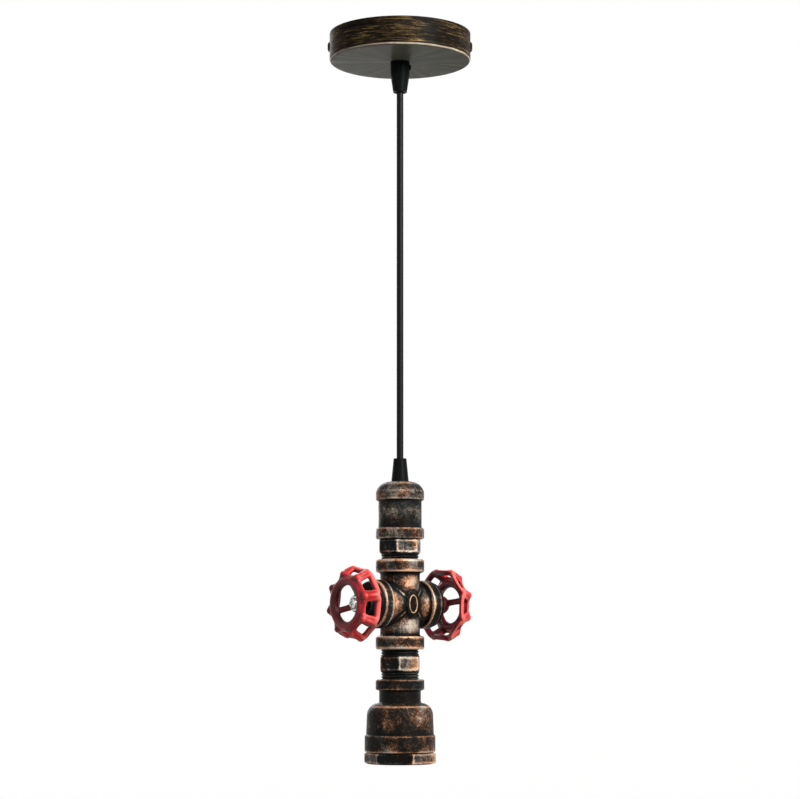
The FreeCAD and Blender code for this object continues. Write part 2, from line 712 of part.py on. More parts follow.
def coil_stations():
    """List the coil's points and directions at even steps along its turns."""
    last_turn = s.coil_turns.number + s.coil_reversal.number
    steps = round(2 * last_turn * COIL_STATIONS)
    nearby = last_turn / steps / 20
    stations = []
    for step in range(steps + 1):
        turn = last_turn * (2 * step / steps - 1)
        point = coil_station(turn, last_turn)
        if 0 < step < steps:
            way = coil_station(turn + nearby, last_turn) - coil_station(turn - nearby, last_turn)
        else:
            way = FreeCAD.Vector(point.y, -point.x, 0)
        stations.append((point, way))
    return stations


def least_self_gap(path, diameter):
    """Measure the least clear distance between parts of a tube that are far apart along it."""
    points = path.discretize(Distance=diameter / 2)
    far_apart = 16
    gaps = [points[i].distanceToPoint(points[j]) - diameter
            for i in range(len(points)) for j in range(i + far_apart, len(points))]
    return min(gaps)


def make_coil():
    """The put-away cord: a straight tail, two layers of turns and a lead down into the grip's neck."""
    stations = coil_stations()
    first_point, first_way = stations[0]
    first_way = FreeCAD.Vector(first_way).normalize()
    tail = first_point - first_way * s.coil_tail.number
    last_point = stations[-1][0]
    neck_top = FreeCAD.Vector(0, 0, neck_top_z.number)
    bend = last_point.z - neck_top.z
    lead_angle = math.atan2(last_point.y, last_point.x) - math.radians(s.coil_lead_sweep.number)
    outward = FreeCAD.Vector(math.cos(lead_angle), math.sin(lead_angle), 0)
    lead = FreeCAD.Vector(outward.x * bend, outward.y * bend, last_point.z)
    stations.insert(0, (tail, first_way))
    stations.append((lead, outward * -1))
    stations.append((neck_top, FreeCAD.Vector(0, 0, -1)))
    shape, path = tube(stations, cord_radius.number)
    radii = [edge.Curve.Radius for edge in path.Edges if hasattr(edge.Curve, "Radius")]
    print(f"put-away cord: {path.Length:.1f} mm, tightest arc {min(radii):.1f} mm")
    print(f"least gap to itself: {least_self_gap(path, s.cord_diameter.number):.2f} mm")
    swept = math.pi * cord_radius.number**2 * path.Length
    print(f"volume over section times length: {shape.Volume / swept:.4f}")
    item = doc.addObject("Part::Feature", "cord_coil")
    item.Shape = shape
    item.Placement = FreeCAD.Placement(FreeCAD.Vector(0, 0, 0), YAW)
    keep("cord_coil", item)
    return tail, first_way


def make_core(name, stations, rotation=None):
    """One insulated core of the cord, as a round tube."""
    shape, path = tube(stations, s.core_diameter.number / 2)
    item = doc.addObject("Part::Feature", name)
    item.Shape = shape
    if rotation is not None:
        item.Placement = FreeCAD.Placement(FreeCAD.Vector(0, 0, 0), rotation)
    keep(name, item)


def make_canopy_cores(tail, way):
    """The two cores from the end of the sheath into the terminal block."""
    across = FreeCAD.Vector(-way.y, way.x, 0)
    spacing = s.core_diameter.number / 2 + s.fit_gap.number
    face = s.terminal_width.number / 2 + s.fit_gap.number
    for name, side in (("canopy_live_core", -1), ("canopy_neutral_core", 1)):
        start = tail + across * (spacing * side)
        end = FreeCAD.Vector(terminal_line(side).number, -face, -terminal_level.number)
        make_core(name, [(start, way * -1), (end, FreeCAD.Vector(0, 1, 0))], YAW)


def make_lower_grip():
    """A plain cone on the coupling, with a threaded neck through the dome."""
    neck = s.coupling_dome_wall + s.nut_thickness + s.end_gap
    body = turned("lower_cord_grip", [
        (grip_bore, ZERO),
        (neck_radius, ZERO),
        (neck_radius, neck),
        (s.lower_grip_base / 2, neck),
        (s.lower_grip_top / 2, neck + s.lower_grip_length),
        (grip_bore, neck + s.lower_grip_length),
    ])
    keep("lower_cord_grip", place(body, (ZERO, ZERO, coupling_top_z - neck)))


def make_top_coupling():
    """A pipe coupling with a ring at each end and a domed top."""
    body_radius = s.coupling_body / 2
    top = s.coupling_length
    dome_base = top - s.coupling_dome
    ring_base = dome_base - s.coupling_upper_ring
    chamber = s.fitting_bore / 2
    chamber_top = top - s.coupling_dome_wall
    chamfer = s.ring_chamfer
    body = turned("top_coupling", [
        (female_radius, ZERO),
        (ring_radius - chamfer, ZERO),
        (ring_radius, chamfer),
        (ring_radius, s.coupling_lower_ring - chamfer),
        (body_radius, s.coupling_lower_ring),
        (body_radius, ring_base),
        (ring_radius, ring_base + chamfer),
        (ring_radius, dome_base),
        (s.coupling_flat / 2, top),
        (neck_hole, top),
        (neck_hole, chamber_top),
        (chamber - s.coupling_dome_wall / 2, chamber_top),
        (chamber, dome_base),
        (chamber, s.coupling_thread_depth),
        (female_radius, s.coupling_thread_depth),
    ], {7: s.coupling_dome_round})
    keep("top_coupling", place(body, (ZERO, ZERO, coupling_base_z)))


def chamfered_hex(name, flats, height, turn):
    """A hexagonal prism whose corners are turned off at both ends."""
    corner = flats / (as_size(180 / HEX_SIDES).cos() * 2)
    blank = prism(f"{name}_blank", flats, height, rotation=turn_about((0, 0, 1), turn.number))
    edge = flats / 2
    barrel = turned(f"{name}_barrel", [
        (ZERO, ZERO),
        (edge, ZERO),
        (corner, s.hex_chamfer),
        (corner, height - s.hex_chamfer),
        (edge, height),
        (ZERO, height),
    ])
    return common(f"{name}_hexagon", blank, barrel)


def make_nipple(name, hex_z, hex_height, turn, above, below):
    """A threaded nipple with a hexagon in its middle and a bore right through."""
    hexagon = place(chamfered_hex(name, s.hex_flats, hex_height, turn), (ZERO, ZERO, below))
    length = below + hex_height + above
    thread = turned(f"{name}_thread", [
        (ZERO, ZERO),
        (male_radius - s.ring_chamfer, ZERO),
        (male_radius, s.ring_chamfer),
        (male_radius, length - s.ring_chamfer),
        (male_radius - s.ring_chamfer, length),
        (ZERO, length),
    ])
    bore = cylinder(f"{name}_bore", s.pipe_bore / 2, length)
    nipple = cut(name, fuse(f"{name}_solid", hexagon, thread), bore)
    keep(name, place(nipple, (ZERO, ZERO, hex_z - below)))


def make_nipples():
    upper_above = s.coupling_thread_depth - s.end_gap
    make_nipple("upper_hex_nipple", upper_hex_z, s.upper_hex_height, s.upper_hex_turn,
                upper_above, s.upper_thread_shown + s.nipple_engagement)
    make_nipple("lower_hex_nipple", lower_hex_z, s.lower_hex_height, s.lower_hex_turn,
                s.lower_thread_shown + s.nipple_engagement, s.bell_thread_shown + s.nipple_engagement)


def port_outline(reach, ring_length):
    """Outline of one straight run of the cross, from its centre out to both ends."""
    body_radius = s.cross_body / 2
    chamfer = s.ring_chamfer
    return [
        (ZERO, -reach),
        (ring_radius - chamfer, -reach),
        (ring_radius, chamfer - reach),
        (ring_radius, ring_length - chamfer - reach),
        (body_radius, ring_length - reach),
        (body_radius, reach - ring_length),
        (ring_radius, reach - ring_length + chamfer),
        (ring_radius, reach - chamfer),
        (ring_radius - chamfer, reach),
        (ZERO, reach),
    ]


def bore_outline(reach, depth):
    """Outline of the bore of one run, with a thread's width at both ends."""
    bore = s.fitting_bore / 2
    return [
        (ZERO, -reach),
        (female_radius, -reach),
        (female_radius, depth - reach),
        (bore, depth - reach),
        (bore, reach - depth),
        (female_radius, reach - depth),
        (female_radius, reach),
        (ZERO, reach),
    ]


def make_cross():
    """A cast four-way fitting: two crossing runs with rings, and an oval pad on the front and back."""
    half = s.cross_height / 2
    thread_depth = s.nipple_engagement + s.end_gap
    upright = turned("cross_upright", port_outline(half, s.cross_ring))
    level = place(turned("cross_level", port_outline(s.cross_arm, s.cross_arm_ring)), rotation=TO_RIGHT)
    pads = []
    reach = s.cross_body + s.cross_boss_rise * 2
    rounding = s.cross_boss_width / 2
    middle = s.cross_boss_height / 2 - rounding
    backward = turn_about((1, 0, 0), -90)
    for side in (1, -1):
        pads.append(cylinder(f"cross_pad_end_{side + 1}", rounding, reach,
                             (ZERO, -reach / 2, middle * side), backward))
    pads.append(box("cross_pad_middle", (s.cross_boss_width, reach, middle * 2),
                    (-rounding, -reach / 2, -middle)))
    solid = fuse("cross_solid", upright, level, *pads)
    upright_bore = turned("cross_upright_bore", bore_outline(half, thread_depth))
    level_bore = place(turned("cross_level_bore", bore_outline(s.cross_arm, thread_depth)), rotation=TO_RIGHT)
    cross = cut("cross_fitting", solid, fuse("cross_bores", upright_bore, level_bore))
    keep("cross_fitting", place(cross, (ZERO, ZERO, wheel_axis_z)))


# Distances along the wheels' line, from the cord's line outwards.
plug_inside = s.cross_arm - s.nipple_engagement
plug_flange_face = s.cross_arm + s.plug_flange_height
collar_face = plug_inside - s.stem_end_play
hub_face = s.wheel_seat + s.hub_length
washer_face = hub_face + s.washer_thickness
tang_end = hub_face - s.end_gap


def spin(rotation, turn):
    """Turn a piece about its own Z axis before it is laid along the wheels' line."""
    return rotation.multiply(turn_about((0, 0, 1), turn.number))


def make_side_plug(side, rotation):
    """A screwed plug with a round flange and a neck in which the valve stem turns."""
    bore = s.stem_diameter / 2 + s.stem_room
    neck_end = plug_flange_face + s.plug_neck_height
    chamfer = s.ring_chamfer
    body = turned(f"{side}_side_plug", [
        (bore, plug_inside),
        (male_radius, plug_inside),
        (male_radius, s.cross_arm),
        (s.plug_flange / 2, s.cross_arm),
        (s.plug_flange / 2, plug_flange_face - chamfer),
        (s.plug_flange / 2 - chamfer, plug_flange_face),
        (s.plug_neck / 2, plug_flange_face),
        (s.plug_neck / 2 - chamfer, neck_end),
        (bore, neck_end),
    ])
    keep(f"{side}_side_plug", place(body, (ZERO, ZERO, wheel_axis_z), rotation))


def make_stem(side, rotation, turn):
    """A valve stem with a collar behind the plug, a square end and a tapped hole."""
    radius = s.stem_diameter / 2
    shaft = turned(f"{side}_stem_shaft", [
        (ZERO, collar_face - s.stem_collar_height),
        (s.stem_collar / 2, collar_face - s.stem_collar_height),
        (s.stem_collar / 2, collar_face),
        (radius, collar_face),
        (radius, s.wheel_seat),
        (ZERO, s.wheel_seat),
    ])
    tang = box(f"{side}_stem_tang", (s.stem_tang, s.stem_tang, tang_end - s.wheel_seat + radius),
               (-s.stem_tang / 2, -s.stem_tang / 2, s.wheel_seat - radius))
    trimmed = common(f"{side}_stem_square", tang,
                     cylinder(f"{side}_stem_round", radius, tang_end))
    hole = cylinder(f"{side}_stem_hole", s.wheel_screw_thread / 2, s.wheel_screw_length * 2,
                    (ZERO, ZERO, washer_face - s.wheel_screw_length - s.end_gap))
    stem = cut(f"{side}_valve_stem", fuse(f"{side}_stem_solid", shaft, trimmed), hole)
    keep(f"{side}_valve_stem", place(stem, (ZERO, ZERO, wheel_axis_z), spin(rotation, turn)))


def lobed(body, name, height, diameter, side_round):
    """Draw an eight-cornered outline with hollow sides at a height."""
    corners = []
    arcs = {}
    radius = diameter / 2
    for number in range(WHEEL_WINDOWS):
        angle = as_size(360 / WHEEL_WINDOWS * (number + 0.5))
        corners.append((radius * angle.cos(), radius * angle.sin()))
        arcs[number] = -side_round
    sketch = new_sketch(body, name, "XY_Plane", height)
    return outline(sketch, corners, arcs)


def pattern(body, name, feature, count):
    """Repeat a feature evenly round the body's Z axis."""
    item = body.newObject("PartDesign::PolarPattern", name)
    item.Originals = [feature]
    item.Axis = (origin_feature(body, "Z_Axis"), [""])
    item.Angle = 360
    item.Occurrences = count
    body.Tip = item
    return item


def make_hand_wheel(side, rotation, turn):
    """A cast hand wheel: a cage of eight windows, a front plate with knobs and three dished spokes."""
    name = f"{side}_hand_wheel"
    body = new_body(name)
    wall = s.wheel_wall * 2
    outer = body.newObject("PartDesign::AdditiveLoft", f"{name}_cage")
    outer.Profile = lobed(body, f"{name}_back", s.wheel_back, s.wheel_diameter, s.wheel_side_round)
    outer.Sections = [lobed(body, f"{name}_front", s.wheel_front, s.wheel_front_diameter,
                            s.wheel_front_side_round)]
    outer.Ruled = True
    inner = body.newObject("PartDesign::SubtractiveLoft", f"{name}_hollow")
    inner.Profile = lobed(body, f"{name}_back_inside", s.wheel_back, s.wheel_diameter - wall,
                          s.wheel_side_round)
    inner.Sections = [lobed(body, f"{name}_front_inside", s.wheel_front - s.wheel_face,
                            s.wheel_front_diameter - wall, s.wheel_front_side_round)]
    inner.Ruled = True
    revolve(body, f"{name}_eye", [
        (ZERO, s.wheel_back),
        (s.wheel_eye / 2, s.wheel_back),
        (s.wheel_eye / 2, s.wheel_front),
        (ZERO, s.wheel_front),
    ], kind="PartDesign::Groove")
    cage_volume = volume_now(body)
    back = s.wheel_back + s.window_back_gap
    front = s.wheel_front - s.window_front_gap
    window_sketch = outline(new_sketch(body, f"{name}_window_outline", "YZ_Plane"), [
        (-s.window_back_width / 2, back),
        (s.window_back_width / 2, back),
        (s.window_front_width / 2, front),
        (-s.window_front_width / 2, front),
    ])
    window = body.newObject("PartDesign::Pocket", f"{name}_window")
    window.Profile = window_sketch
    window.Reversed = True
    bind(window, "Length", s.wheel_diameter / 2)
    pattern(body, f"{name}_windows", window, WHEEL_WINDOWS)
    if volume_now(body) > cage_volume * 0.9:
        raise RuntimeError("the windows cut nothing")
    revolve(body, f"{name}_hub", [
        (s.stem_diameter / 4, s.wheel_seat),
        (s.hub_diameter / 2, s.wheel_seat),
        (s.hub_diameter / 2, hub_face),
        (s.stem_diameter / 4, hub_face),
    ])
    root = s.hub_diameter / 2 - s.spoke_root
    tip = s.wheel_eye / 2 + s.spoke_root
    spoke_sketch = outline(new_sketch(body, f"{name}_spoke_outline", "XZ_Plane"), [
        (root, hub_face - s.spoke_sink - s.spoke_depth),
        (tip, s.wheel_front - s.spoke_sink - s.spoke_depth),
        (tip, s.wheel_front - s.spoke_sink),
        (root, hub_face - s.spoke_sink),
    ])
    spoke = body.newObject("PartDesign::Pad", f"{name}_spoke")
    spoke.Profile = spoke_sketch
    spoke.Midplane = True
    bind(spoke, "Length", s.spoke_width)
    pattern(body, f"{name}_spokes", spoke, WHEEL_SPOKES)
    knobs = []
    knob = s.wheel_knob / 2
    for number in range(WHEEL_WINDOWS):
        angle = as_size(360 / WHEEL_WINDOWS * (number + 0.5))
        out = s.wheel_front_diameter / 2 - s.wheel_knob_sink
        knobs.append(ball(f"{name}_knob_{number}", knob,
                          (out * angle.cos(), out * angle.sin(), s.wheel_front - s.wheel_knob_drop - knob)))
    casting = fuse(f"{name}_casting", body, *knobs)
    square = box(f"{name}_square", (s.stem_tang, s.stem_tang, s.hub_length * THROUGH),
                 (-s.stem_tang / 2, -s.stem_tang / 2, s.wheel_seat))
    wheel = cut(f"{name}_bored", casting, square)
    keep(name, place(wheel, (ZERO, ZERO, wheel_axis_z), spin(rotation, turn)))


def volume_now(body):
    doc.recompute()
    return body.Shape.Volume


def make_wheel_fasteners(side, rotation):
    """The washer and the pan-head screw that hold a wheel on its stem."""
    washer = turned(f"{side}_wheel_washer", [
        (s.wheel_screw_thread / 2, hub_face),
        (s.washer_diameter / 2, hub_face),
        (s.washer_diameter / 2, washer_face),
        (s.wheel_screw_thread / 2, washer_face),
    ])
    keep(f"{side}_wheel_washer", place(washer, (ZERO, ZERO, wheel_axis_z), rotation))
    pin = screw(f"{side}_wheel_screw", s.wheel_screw_thread - s.fit_gap * 2, s.wheel_screw_length,
                s.wheel_screw_head, s.wheel_screw_head_height)
    start = washer_face - s.wheel_screw_length
    offset = start if side == "right" else -start
    keep(f"{side}_wheel_screw", place(pin, (offset, ZERO, wheel_axis_z), rotation))


def make_bell():
    """A reducer with a ring and a neck on top, a round shoulder and a wide ringed mouth."""
    top = s.bell_height
    ring_base = top - s.bell_ring_height
    neck_base = ring_base - s.bell_neck_height
    shoulder = neck_base - s.bell_shoulder_drop
    chamfer = s.ring_chamfer
    thread_depth = s.nipple_engagement + s.end_gap
    body = turned("bell_reducer", [
        (s.mouth_thread / 2, ZERO),
        (s.mouth_ring / 2 - chamfer, ZERO),
        (s.mouth_ring / 2, chamfer),
        (s.mouth_ring / 2, s.mouth_ring_height - chamfer),
        (s.bell_skirt / 2, s.mouth_ring_height),
        (s.bell_shoulder / 2, shoulder),
        (s.bell_neck / 2, neck_base),
        (s.bell_neck / 2, ring_base),
        (ring_radius, ring_base + chamfer),
        (ring_radius, top - chamfer),
        (ring_radius - chamfer, top),
        (female_radius, top),
        (female_radius, top - thread_depth),
        (s.fitting_bore / 2, top - thread_depth),
        (s.fitting_bore / 2, s.bell_chamber_top),
        (s.bell_chamber / 2, s.bell_chamber_top),
        (s.bell_chamber / 2, s.mouth_thread_depth),
        (s.mouth_thread / 2, s.mouth_thread_depth),
    ], {5: s.bell_shoulder_round})
    keep("bell_reducer", place(body, (ZERO, ZERO, bell_mouth_z)))


def make_mouth_bushing():
    """A hexagonal bushing screwed up into the bell's mouth."""
    hexagon = chamfered_hex("mouth_bushing", s.mouth_hex_flats, s.mouth_hex_height, s.mouth_hex_turn)
    height = s.mouth_hex_height + s.bushing_engagement
    thread = cylinder("mouth_bushing_thread", s.mouth_thread / 2 - s.fit_gap, height)
    bore = cylinder("mouth_bushing_bore", s.bushing_bore / 2, height)
    bushing = cut("mouth_bushing", fuse("mouth_bushing_solid", hexagon, thread), bore)
    keep("mouth_bushing", place(bushing, (ZERO, ZERO, lamp_base_z)))


holder_z = lamp_base_z + s.holder_recess
collar_base = s.mouth_hex_height + s.bushing_engagement - s.holder_recess
shell_outside = s.shell_thread / 2 + s.shell_wall
shell_top = s.shell_start + s.shell_height
holder_ceiling = s.holder_height - s.holder_floor


def make_holder_moulding():
    """The moulded holder: its collar rests on the bushing, and the shell seats on its inner step."""
    collar_top = collar_base + s.holder_collar_height
    shell_seat = shell_outside + s.fit_gap
    body = turned("holder_blank", [
        (shell_seat, ZERO),
        (s.holder_diameter / 2, ZERO),
        (s.holder_diameter / 2, collar_base),
        (s.holder_collar / 2, collar_base),
        (s.holder_collar / 2, collar_top),
        (s.holder_crown / 2, collar_top),
        (s.holder_crown / 2, s.holder_height),
        (ZERO, s.holder_height),
        (ZERO, holder_ceiling),
        (s.shell_eye / 2, holder_ceiling),
        (s.shell_eye / 2, shell_top),
        (shell_seat, shell_top),
    ])
    depth = s.holder_floor / 2
    holes = []
    screws = []
    for side in (1, -1):
        at = (s.holder_screw_offset * side, ZERO, s.holder_height - depth)
        holes.append(cylinder(f"holder_screw_hole_{side + 1}", s.clamp_screw_thread / 2, depth, at))
        item = screw(f"holder_screw_{side + 1}", s.clamp_screw_thread - s.fit_gap * 2, depth,
                     s.clamp_screw_head, s.clamp_screw_head_height)
        screws.append(place(item, at))
    moulding = cut("lampholder_body", body, fuse("holder_screw_holes", *holes))
    keep("lampholder_body", place(moulding, (ZERO, ZERO, holder_z)))
    keep("lampholder_screws", place(group("lampholder_screws", *screws), (ZERO, ZERO, holder_z)))


def make_holder_contacts():
    """The drawn screw shell, which is one contact, and the riveted spring tongue in its middle."""
    bend_start = shell_top - s.shell_round
    bend_end = shell_outside - s.shell_round
    shell = turned("lamp_screw_shell", [
        (s.shell_thread / 2, s.shell_start),
        (shell_outside, s.shell_start),
        (shell_outside, bend_start),
        (bend_end, shell_top),
        (s.shell_eye / 2, shell_top),
        (s.shell_eye / 2, shell_top - s.shell_wall),
        (bend_end, shell_top - s.shell_wall),
        (s.shell_thread / 2, bend_start),
    ], {2: s.shell_round, 6: -(s.shell_round - s.shell_wall)})
    keep("lamp_screw_shell", place(shell, (ZERO, ZERO, holder_z)))
    rivet = cylinder("contact_rivet", s.contact_diameter / 2, s.contact_thickness,
                     (ZERO, ZERO, -s.contact_thickness))
    tongue = box("contact_tongue", (s.contact_length, s.contact_width, s.contact_thickness),
                 (ZERO, -s.contact_width / 2, -s.contact_thickness),
                 turn_about((0, 1, 0), s.contact_lift.number))
    contact = fuse("centre_contact", rivet, tongue)
    keep("centre_contact", place(contact, (ZERO, ZERO, holder_z + holder_ceiling)))


def make_lamp_cores():
    """The two cores from the end of the sheath down to the lampholder's screws."""
    start_z = lamp_top_z.number - s.sheath_end_drop.number
    end_z = holder_z.number + s.holder_height.number + s.clamp_screw_head_height.number
    spacing = s.core_diameter.number / 2 + s.fit_gap.number
    down = FreeCAD.Vector(0, 0, -1)
    for name, side in (("lamp_live_core", 1), ("lamp_neutral_core", -1)):
        start = FreeCAD.Vector(spacing * side, 0, start_z)
        end = FreeCAD.Vector(s.holder_screw_offset.number * side, 0, end_z)
        make_core(name, [(start, down), (end, down)])


def check_document():
    """Stop if an object failed to build or a piece is not a sound solid."""
    doc.recompute()
    for item in doc.Objects:
        if "Invalid" in item.State or "Error" in item.State:
            raise RuntimeError(f"{item.Name} failed: {item.State}")
    for name, item in pieces.items():
        if item.Shape.isNull() or not item.Shape.isValid() or not item.Shape.Solids:
            raise RuntimeError(f"{name} is not a valid solid")


def write_pieces():
    os.makedirs("parts", exist_ok=True)
    for name, item in pieces.items():
        item.Shape.exportStep(f"parts/{name}.step")
        print(f"{name}: {len(item.Shape.Solids)} solid(s), {item.Shape.Volume:.1f} mm3")


make_canopy_cup()
make_bracket()
make_side_screws()
make_terminal_block()
make_upper_grip()
make_lock_nut("upper_grip_nut", s.canopy_wall - s.canopy_height)
make_canopy_cores(*make_coil())
make_straight_cord("cord_in_grip", pivot_z + cord_radius + s.end_gap, neck_top_z)
make_hanging_cord()
make_lower_grip()
make_lock_nut("lower_grip_nut", coupling_top_z - s.coupling_dome_wall - s.nut_thickness)
make_straight_cord("cord_in_lamp", lamp_top_z - s.sheath_end_drop, lamp_top_z)
make_top_coupling()
make_nipples()
make_cross()
for wheel_side, wheel_rotation, wheel_turn in (
        ("left", TO_LEFT, s.left_wheel_turn), ("right", TO_RIGHT, s.right_wheel_turn)):
    make_side_plug(wheel_side, wheel_rotation)
    make_stem(wheel_side, wheel_rotation, wheel_turn)
    make_hand_wheel(wheel_side, wheel_rotation, wheel_turn)
    make_wheel_fasteners(wheel_side, wheel_rotation)
make_bell()
make_mouth_bushing()
make_holder_moulding()
make_holder_contacts()
make_lamp_cores()
check_document()
write_pieces()
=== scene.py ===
import json
import math

import bmesh
import bpy
import numpy as np
from mathutils import Matrix, Vector


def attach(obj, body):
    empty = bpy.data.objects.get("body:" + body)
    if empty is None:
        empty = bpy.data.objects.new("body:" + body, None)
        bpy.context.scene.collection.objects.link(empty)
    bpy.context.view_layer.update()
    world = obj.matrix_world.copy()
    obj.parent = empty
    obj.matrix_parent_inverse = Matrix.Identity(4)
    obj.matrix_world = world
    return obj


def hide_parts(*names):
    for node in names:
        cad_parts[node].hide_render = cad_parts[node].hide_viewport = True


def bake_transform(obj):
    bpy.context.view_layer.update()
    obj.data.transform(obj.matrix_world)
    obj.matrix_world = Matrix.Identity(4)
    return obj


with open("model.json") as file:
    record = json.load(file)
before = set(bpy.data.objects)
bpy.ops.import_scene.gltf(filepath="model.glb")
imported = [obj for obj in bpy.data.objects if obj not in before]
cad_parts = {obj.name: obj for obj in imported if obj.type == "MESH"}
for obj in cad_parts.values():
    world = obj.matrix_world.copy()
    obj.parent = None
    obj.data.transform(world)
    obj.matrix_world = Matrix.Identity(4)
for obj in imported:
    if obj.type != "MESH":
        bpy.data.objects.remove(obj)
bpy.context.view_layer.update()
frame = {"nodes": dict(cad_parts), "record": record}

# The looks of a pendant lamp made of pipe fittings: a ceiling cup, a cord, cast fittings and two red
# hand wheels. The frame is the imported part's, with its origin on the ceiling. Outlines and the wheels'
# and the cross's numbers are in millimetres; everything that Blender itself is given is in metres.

MM = 0.001
PHOTO_AZIMUTH = math.radians(-38.0)  # the photograph's side, which the strap in the cup is square to
CROSS_HEIGHT = -403.0  # the height of the valve stems' line
BORE = 13.3  # the radius of a threaded opening in the fittings
THREAD = 13.2  # the radius of the thread that goes into it
RING = 16.75  # the radius of the fittings' end rings
PAD_FACE = 14.95  # the distance of the cross's oval pads from its middle


def use_camera():
    """Look at the lamp from the photograph's side, level with the bell's top ring."""
    distance = 1.6
    eye = Vector((math.sin(PHOTO_AZIMUTH) * distance, -math.cos(PHOTO_AZIMUTH) * distance, -0.436))
    aim = Vector((0.0, 0.0, -0.2606))
    data = bpy.data.cameras.new("camera")
    data.sensor_width = 36.0
    data.lens = 103.8
    data.clip_start = 0.05
    data.clip_end = 60.0
    camera = bpy.data.objects.new("camera", data)
    camera.location = eye
    camera.rotation_mode = "QUATERNION"
    camera.rotation_quaternion = (aim - eye).to_track_quat("-Z", "Y")
    bpy.context.scene.collection.objects.link(camera)
    bpy.context.scene.camera = camera


use_camera()


def coil_point(turn, last_turn):
    """Give the put-away cord's line at a number of turns after its middle.

    The radius is the innermost one plus the pitch for each turn away from the middle, the line climbs
    by the pitch at the middle and again at the upper end, and it runs clockwise from above. Each
    climb takes twice the slow part of a turn, over which the radius stays nearly still as well.
    """
    pitch = 5.4
    innermost = 22.0
    lower_layer = -16.3
    start = math.radians(-68.0)
    slow = 0.25
    widening = abs(turn) - slow / 2 if abs(turn) > slow else turn * turn / (2 * slow)
    radius = innermost + pitch * widening
    climbs = 0.0
    for share in ((turn + slow) / (2 * slow), (turn - last_turn + 2 * slow) / (2 * slow)):
        share = min(1.0, max(0.0, share))
        climbs += share * share * (3 - 2 * share)
    angle = start - 2 * math.pi * (turn + last_turn) + PHOTO_AZIMUTH
    height = lower_layer + pitch * climbs
    return Vector((radius * math.cos(angle), radius * math.sin(angle), height)) * MM


def cord_points():
    """List the cord's control points from the terminals to its end inside the lamp."""
    last_turn = 1.75
    to_a_turn = 16
    steps = round(2 * last_turn * to_a_turn)
    coil = [coil_point(last_turn * (2 * step / steps - 1), last_turn) for step in range(steps + 1)]
    leaving = (coil[0] - coil[1]).normalized()
    to_terminals = [coil[0] + leaving * length * MM for length in (14, 6)]
    top = coil[-1].z
    inwards = math.atan2(coil[-1].y, coil[-1].x) - math.radians(34.0)
    reach = 24.5 * MM
    to_middle = [Vector((reach * math.cos(inwards), reach * math.sin(inwards), top))]
    down = [Vector((0.0, 0.0, z)) for z in (top, -0.030, -0.071, -0.187, -0.273, -0.331, -0.440)]
    return to_terminals + coil + to_middle + down


def smooth_line(name, points):
    """Read the line of a NURBS spline through control points, as Blender draws it."""
    curve = bpy.data.curves.new(name, "CURVE")
    curve.dimensions = "3D"
    curve.resolution_u = 6
    spline = curve.splines.new("NURBS")
    spline.points.add(len(points) - 1)
    for place, point in zip(spline.points, points):
        place.co = (*point, 1.0)
    spline.order_u = 3
    spline.use_endpoint_u = True
    carrier = bpy.data.objects.new(name, curve)
    mesh = bpy.data.meshes.new_from_object(carrier)
    line = np.zeros(len(mesh.vertices) * 3)
    mesh.vertices.foreach_get("co", line)
    bpy.data.meshes.remove(mesh)
    bpy.data.curves.remove(curve)
    return line.reshape(-1, 3)


def grid_mesh(name, points, around_rows=True):
    """Make a closed mesh from a grid of points, rows by columns.

    The columns always join up; the rows do too when around_rows is set, as on a ring. The faces are
    the grid's cells.
    """
    rows, columns = points.shape[:2]
    number = np.arange(rows * columns).reshape(rows, columns)
    beside = np.roll(number, -1, axis=1)
    above = np.roll(number, -1, axis=0)
    across = np.roll(above, -1, axis=1)
    cells = np.stack([number, beside, across, above], axis=-1)
    if not around_rows:
        cells = cells[:-1]
    mesh = bpy.data.meshes.new(name)
    mesh.from_pydata((points.reshape(-1, 3) * MM).tolist(), [], cells.reshape(-1, 4).tolist())
    return mesh


def clean(mesh):
    """Merge points that fall together, turn the faces outwards and shade them smooth."""
    work = bmesh.new()
    work.from_mesh(mesh)
    bmesh.ops.remove_doubles(work, verts=work.verts, dist=1e-7)
    bmesh.ops.dissolve_degenerate(work, edges=work.edges, dist=1e-8)
    loose = [edge for edge in work.edges if not edge.link_faces]
    bmesh.ops.delete(work, geom=loose, context="EDGES")
    bmesh.ops.recalc_face_normals(work, faces=work.faces)
    work.to_mesh(mesh)
    work.free()
    mesh.shade_smooth()
    return mesh


def add_piece(name, mesh, body, slot, finish, *nodes):
    """Show a mesh as a piece that rides on a body and stands for the CAD nodes."""
    piece = bpy.data.objects.new(name, mesh)
    bpy.context.scene.collection.objects.link(piece)
    mesh.materials.clear()
    mesh.materials.append(finish)
    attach(piece, body)
    if nodes:
        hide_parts(*nodes)
    return piece


def unit(vector):
    """Bring a vector to length 1."""
    return vector / np.linalg.norm(vector)


def circle(count):
    """Give the angles of evenly spaced points once round."""
    return np.linspace(0, 2 * math.pi, count, endpoint=False)


def signed_power(wave, power):
    """Raise a wave to a power and keep its sign, as a superellipse does with sine and cosine."""
    return np.sign(wave) * np.abs(wave) ** power


def capped(points, line):
    """Close a grid of sections along a line with a row at its centre at both ends."""
    ends = [np.repeat(line[end][None, None, :], points.shape[1], axis=1) for end in (0, -1)]
    return np.concatenate([ends[0], points, ends[1]])


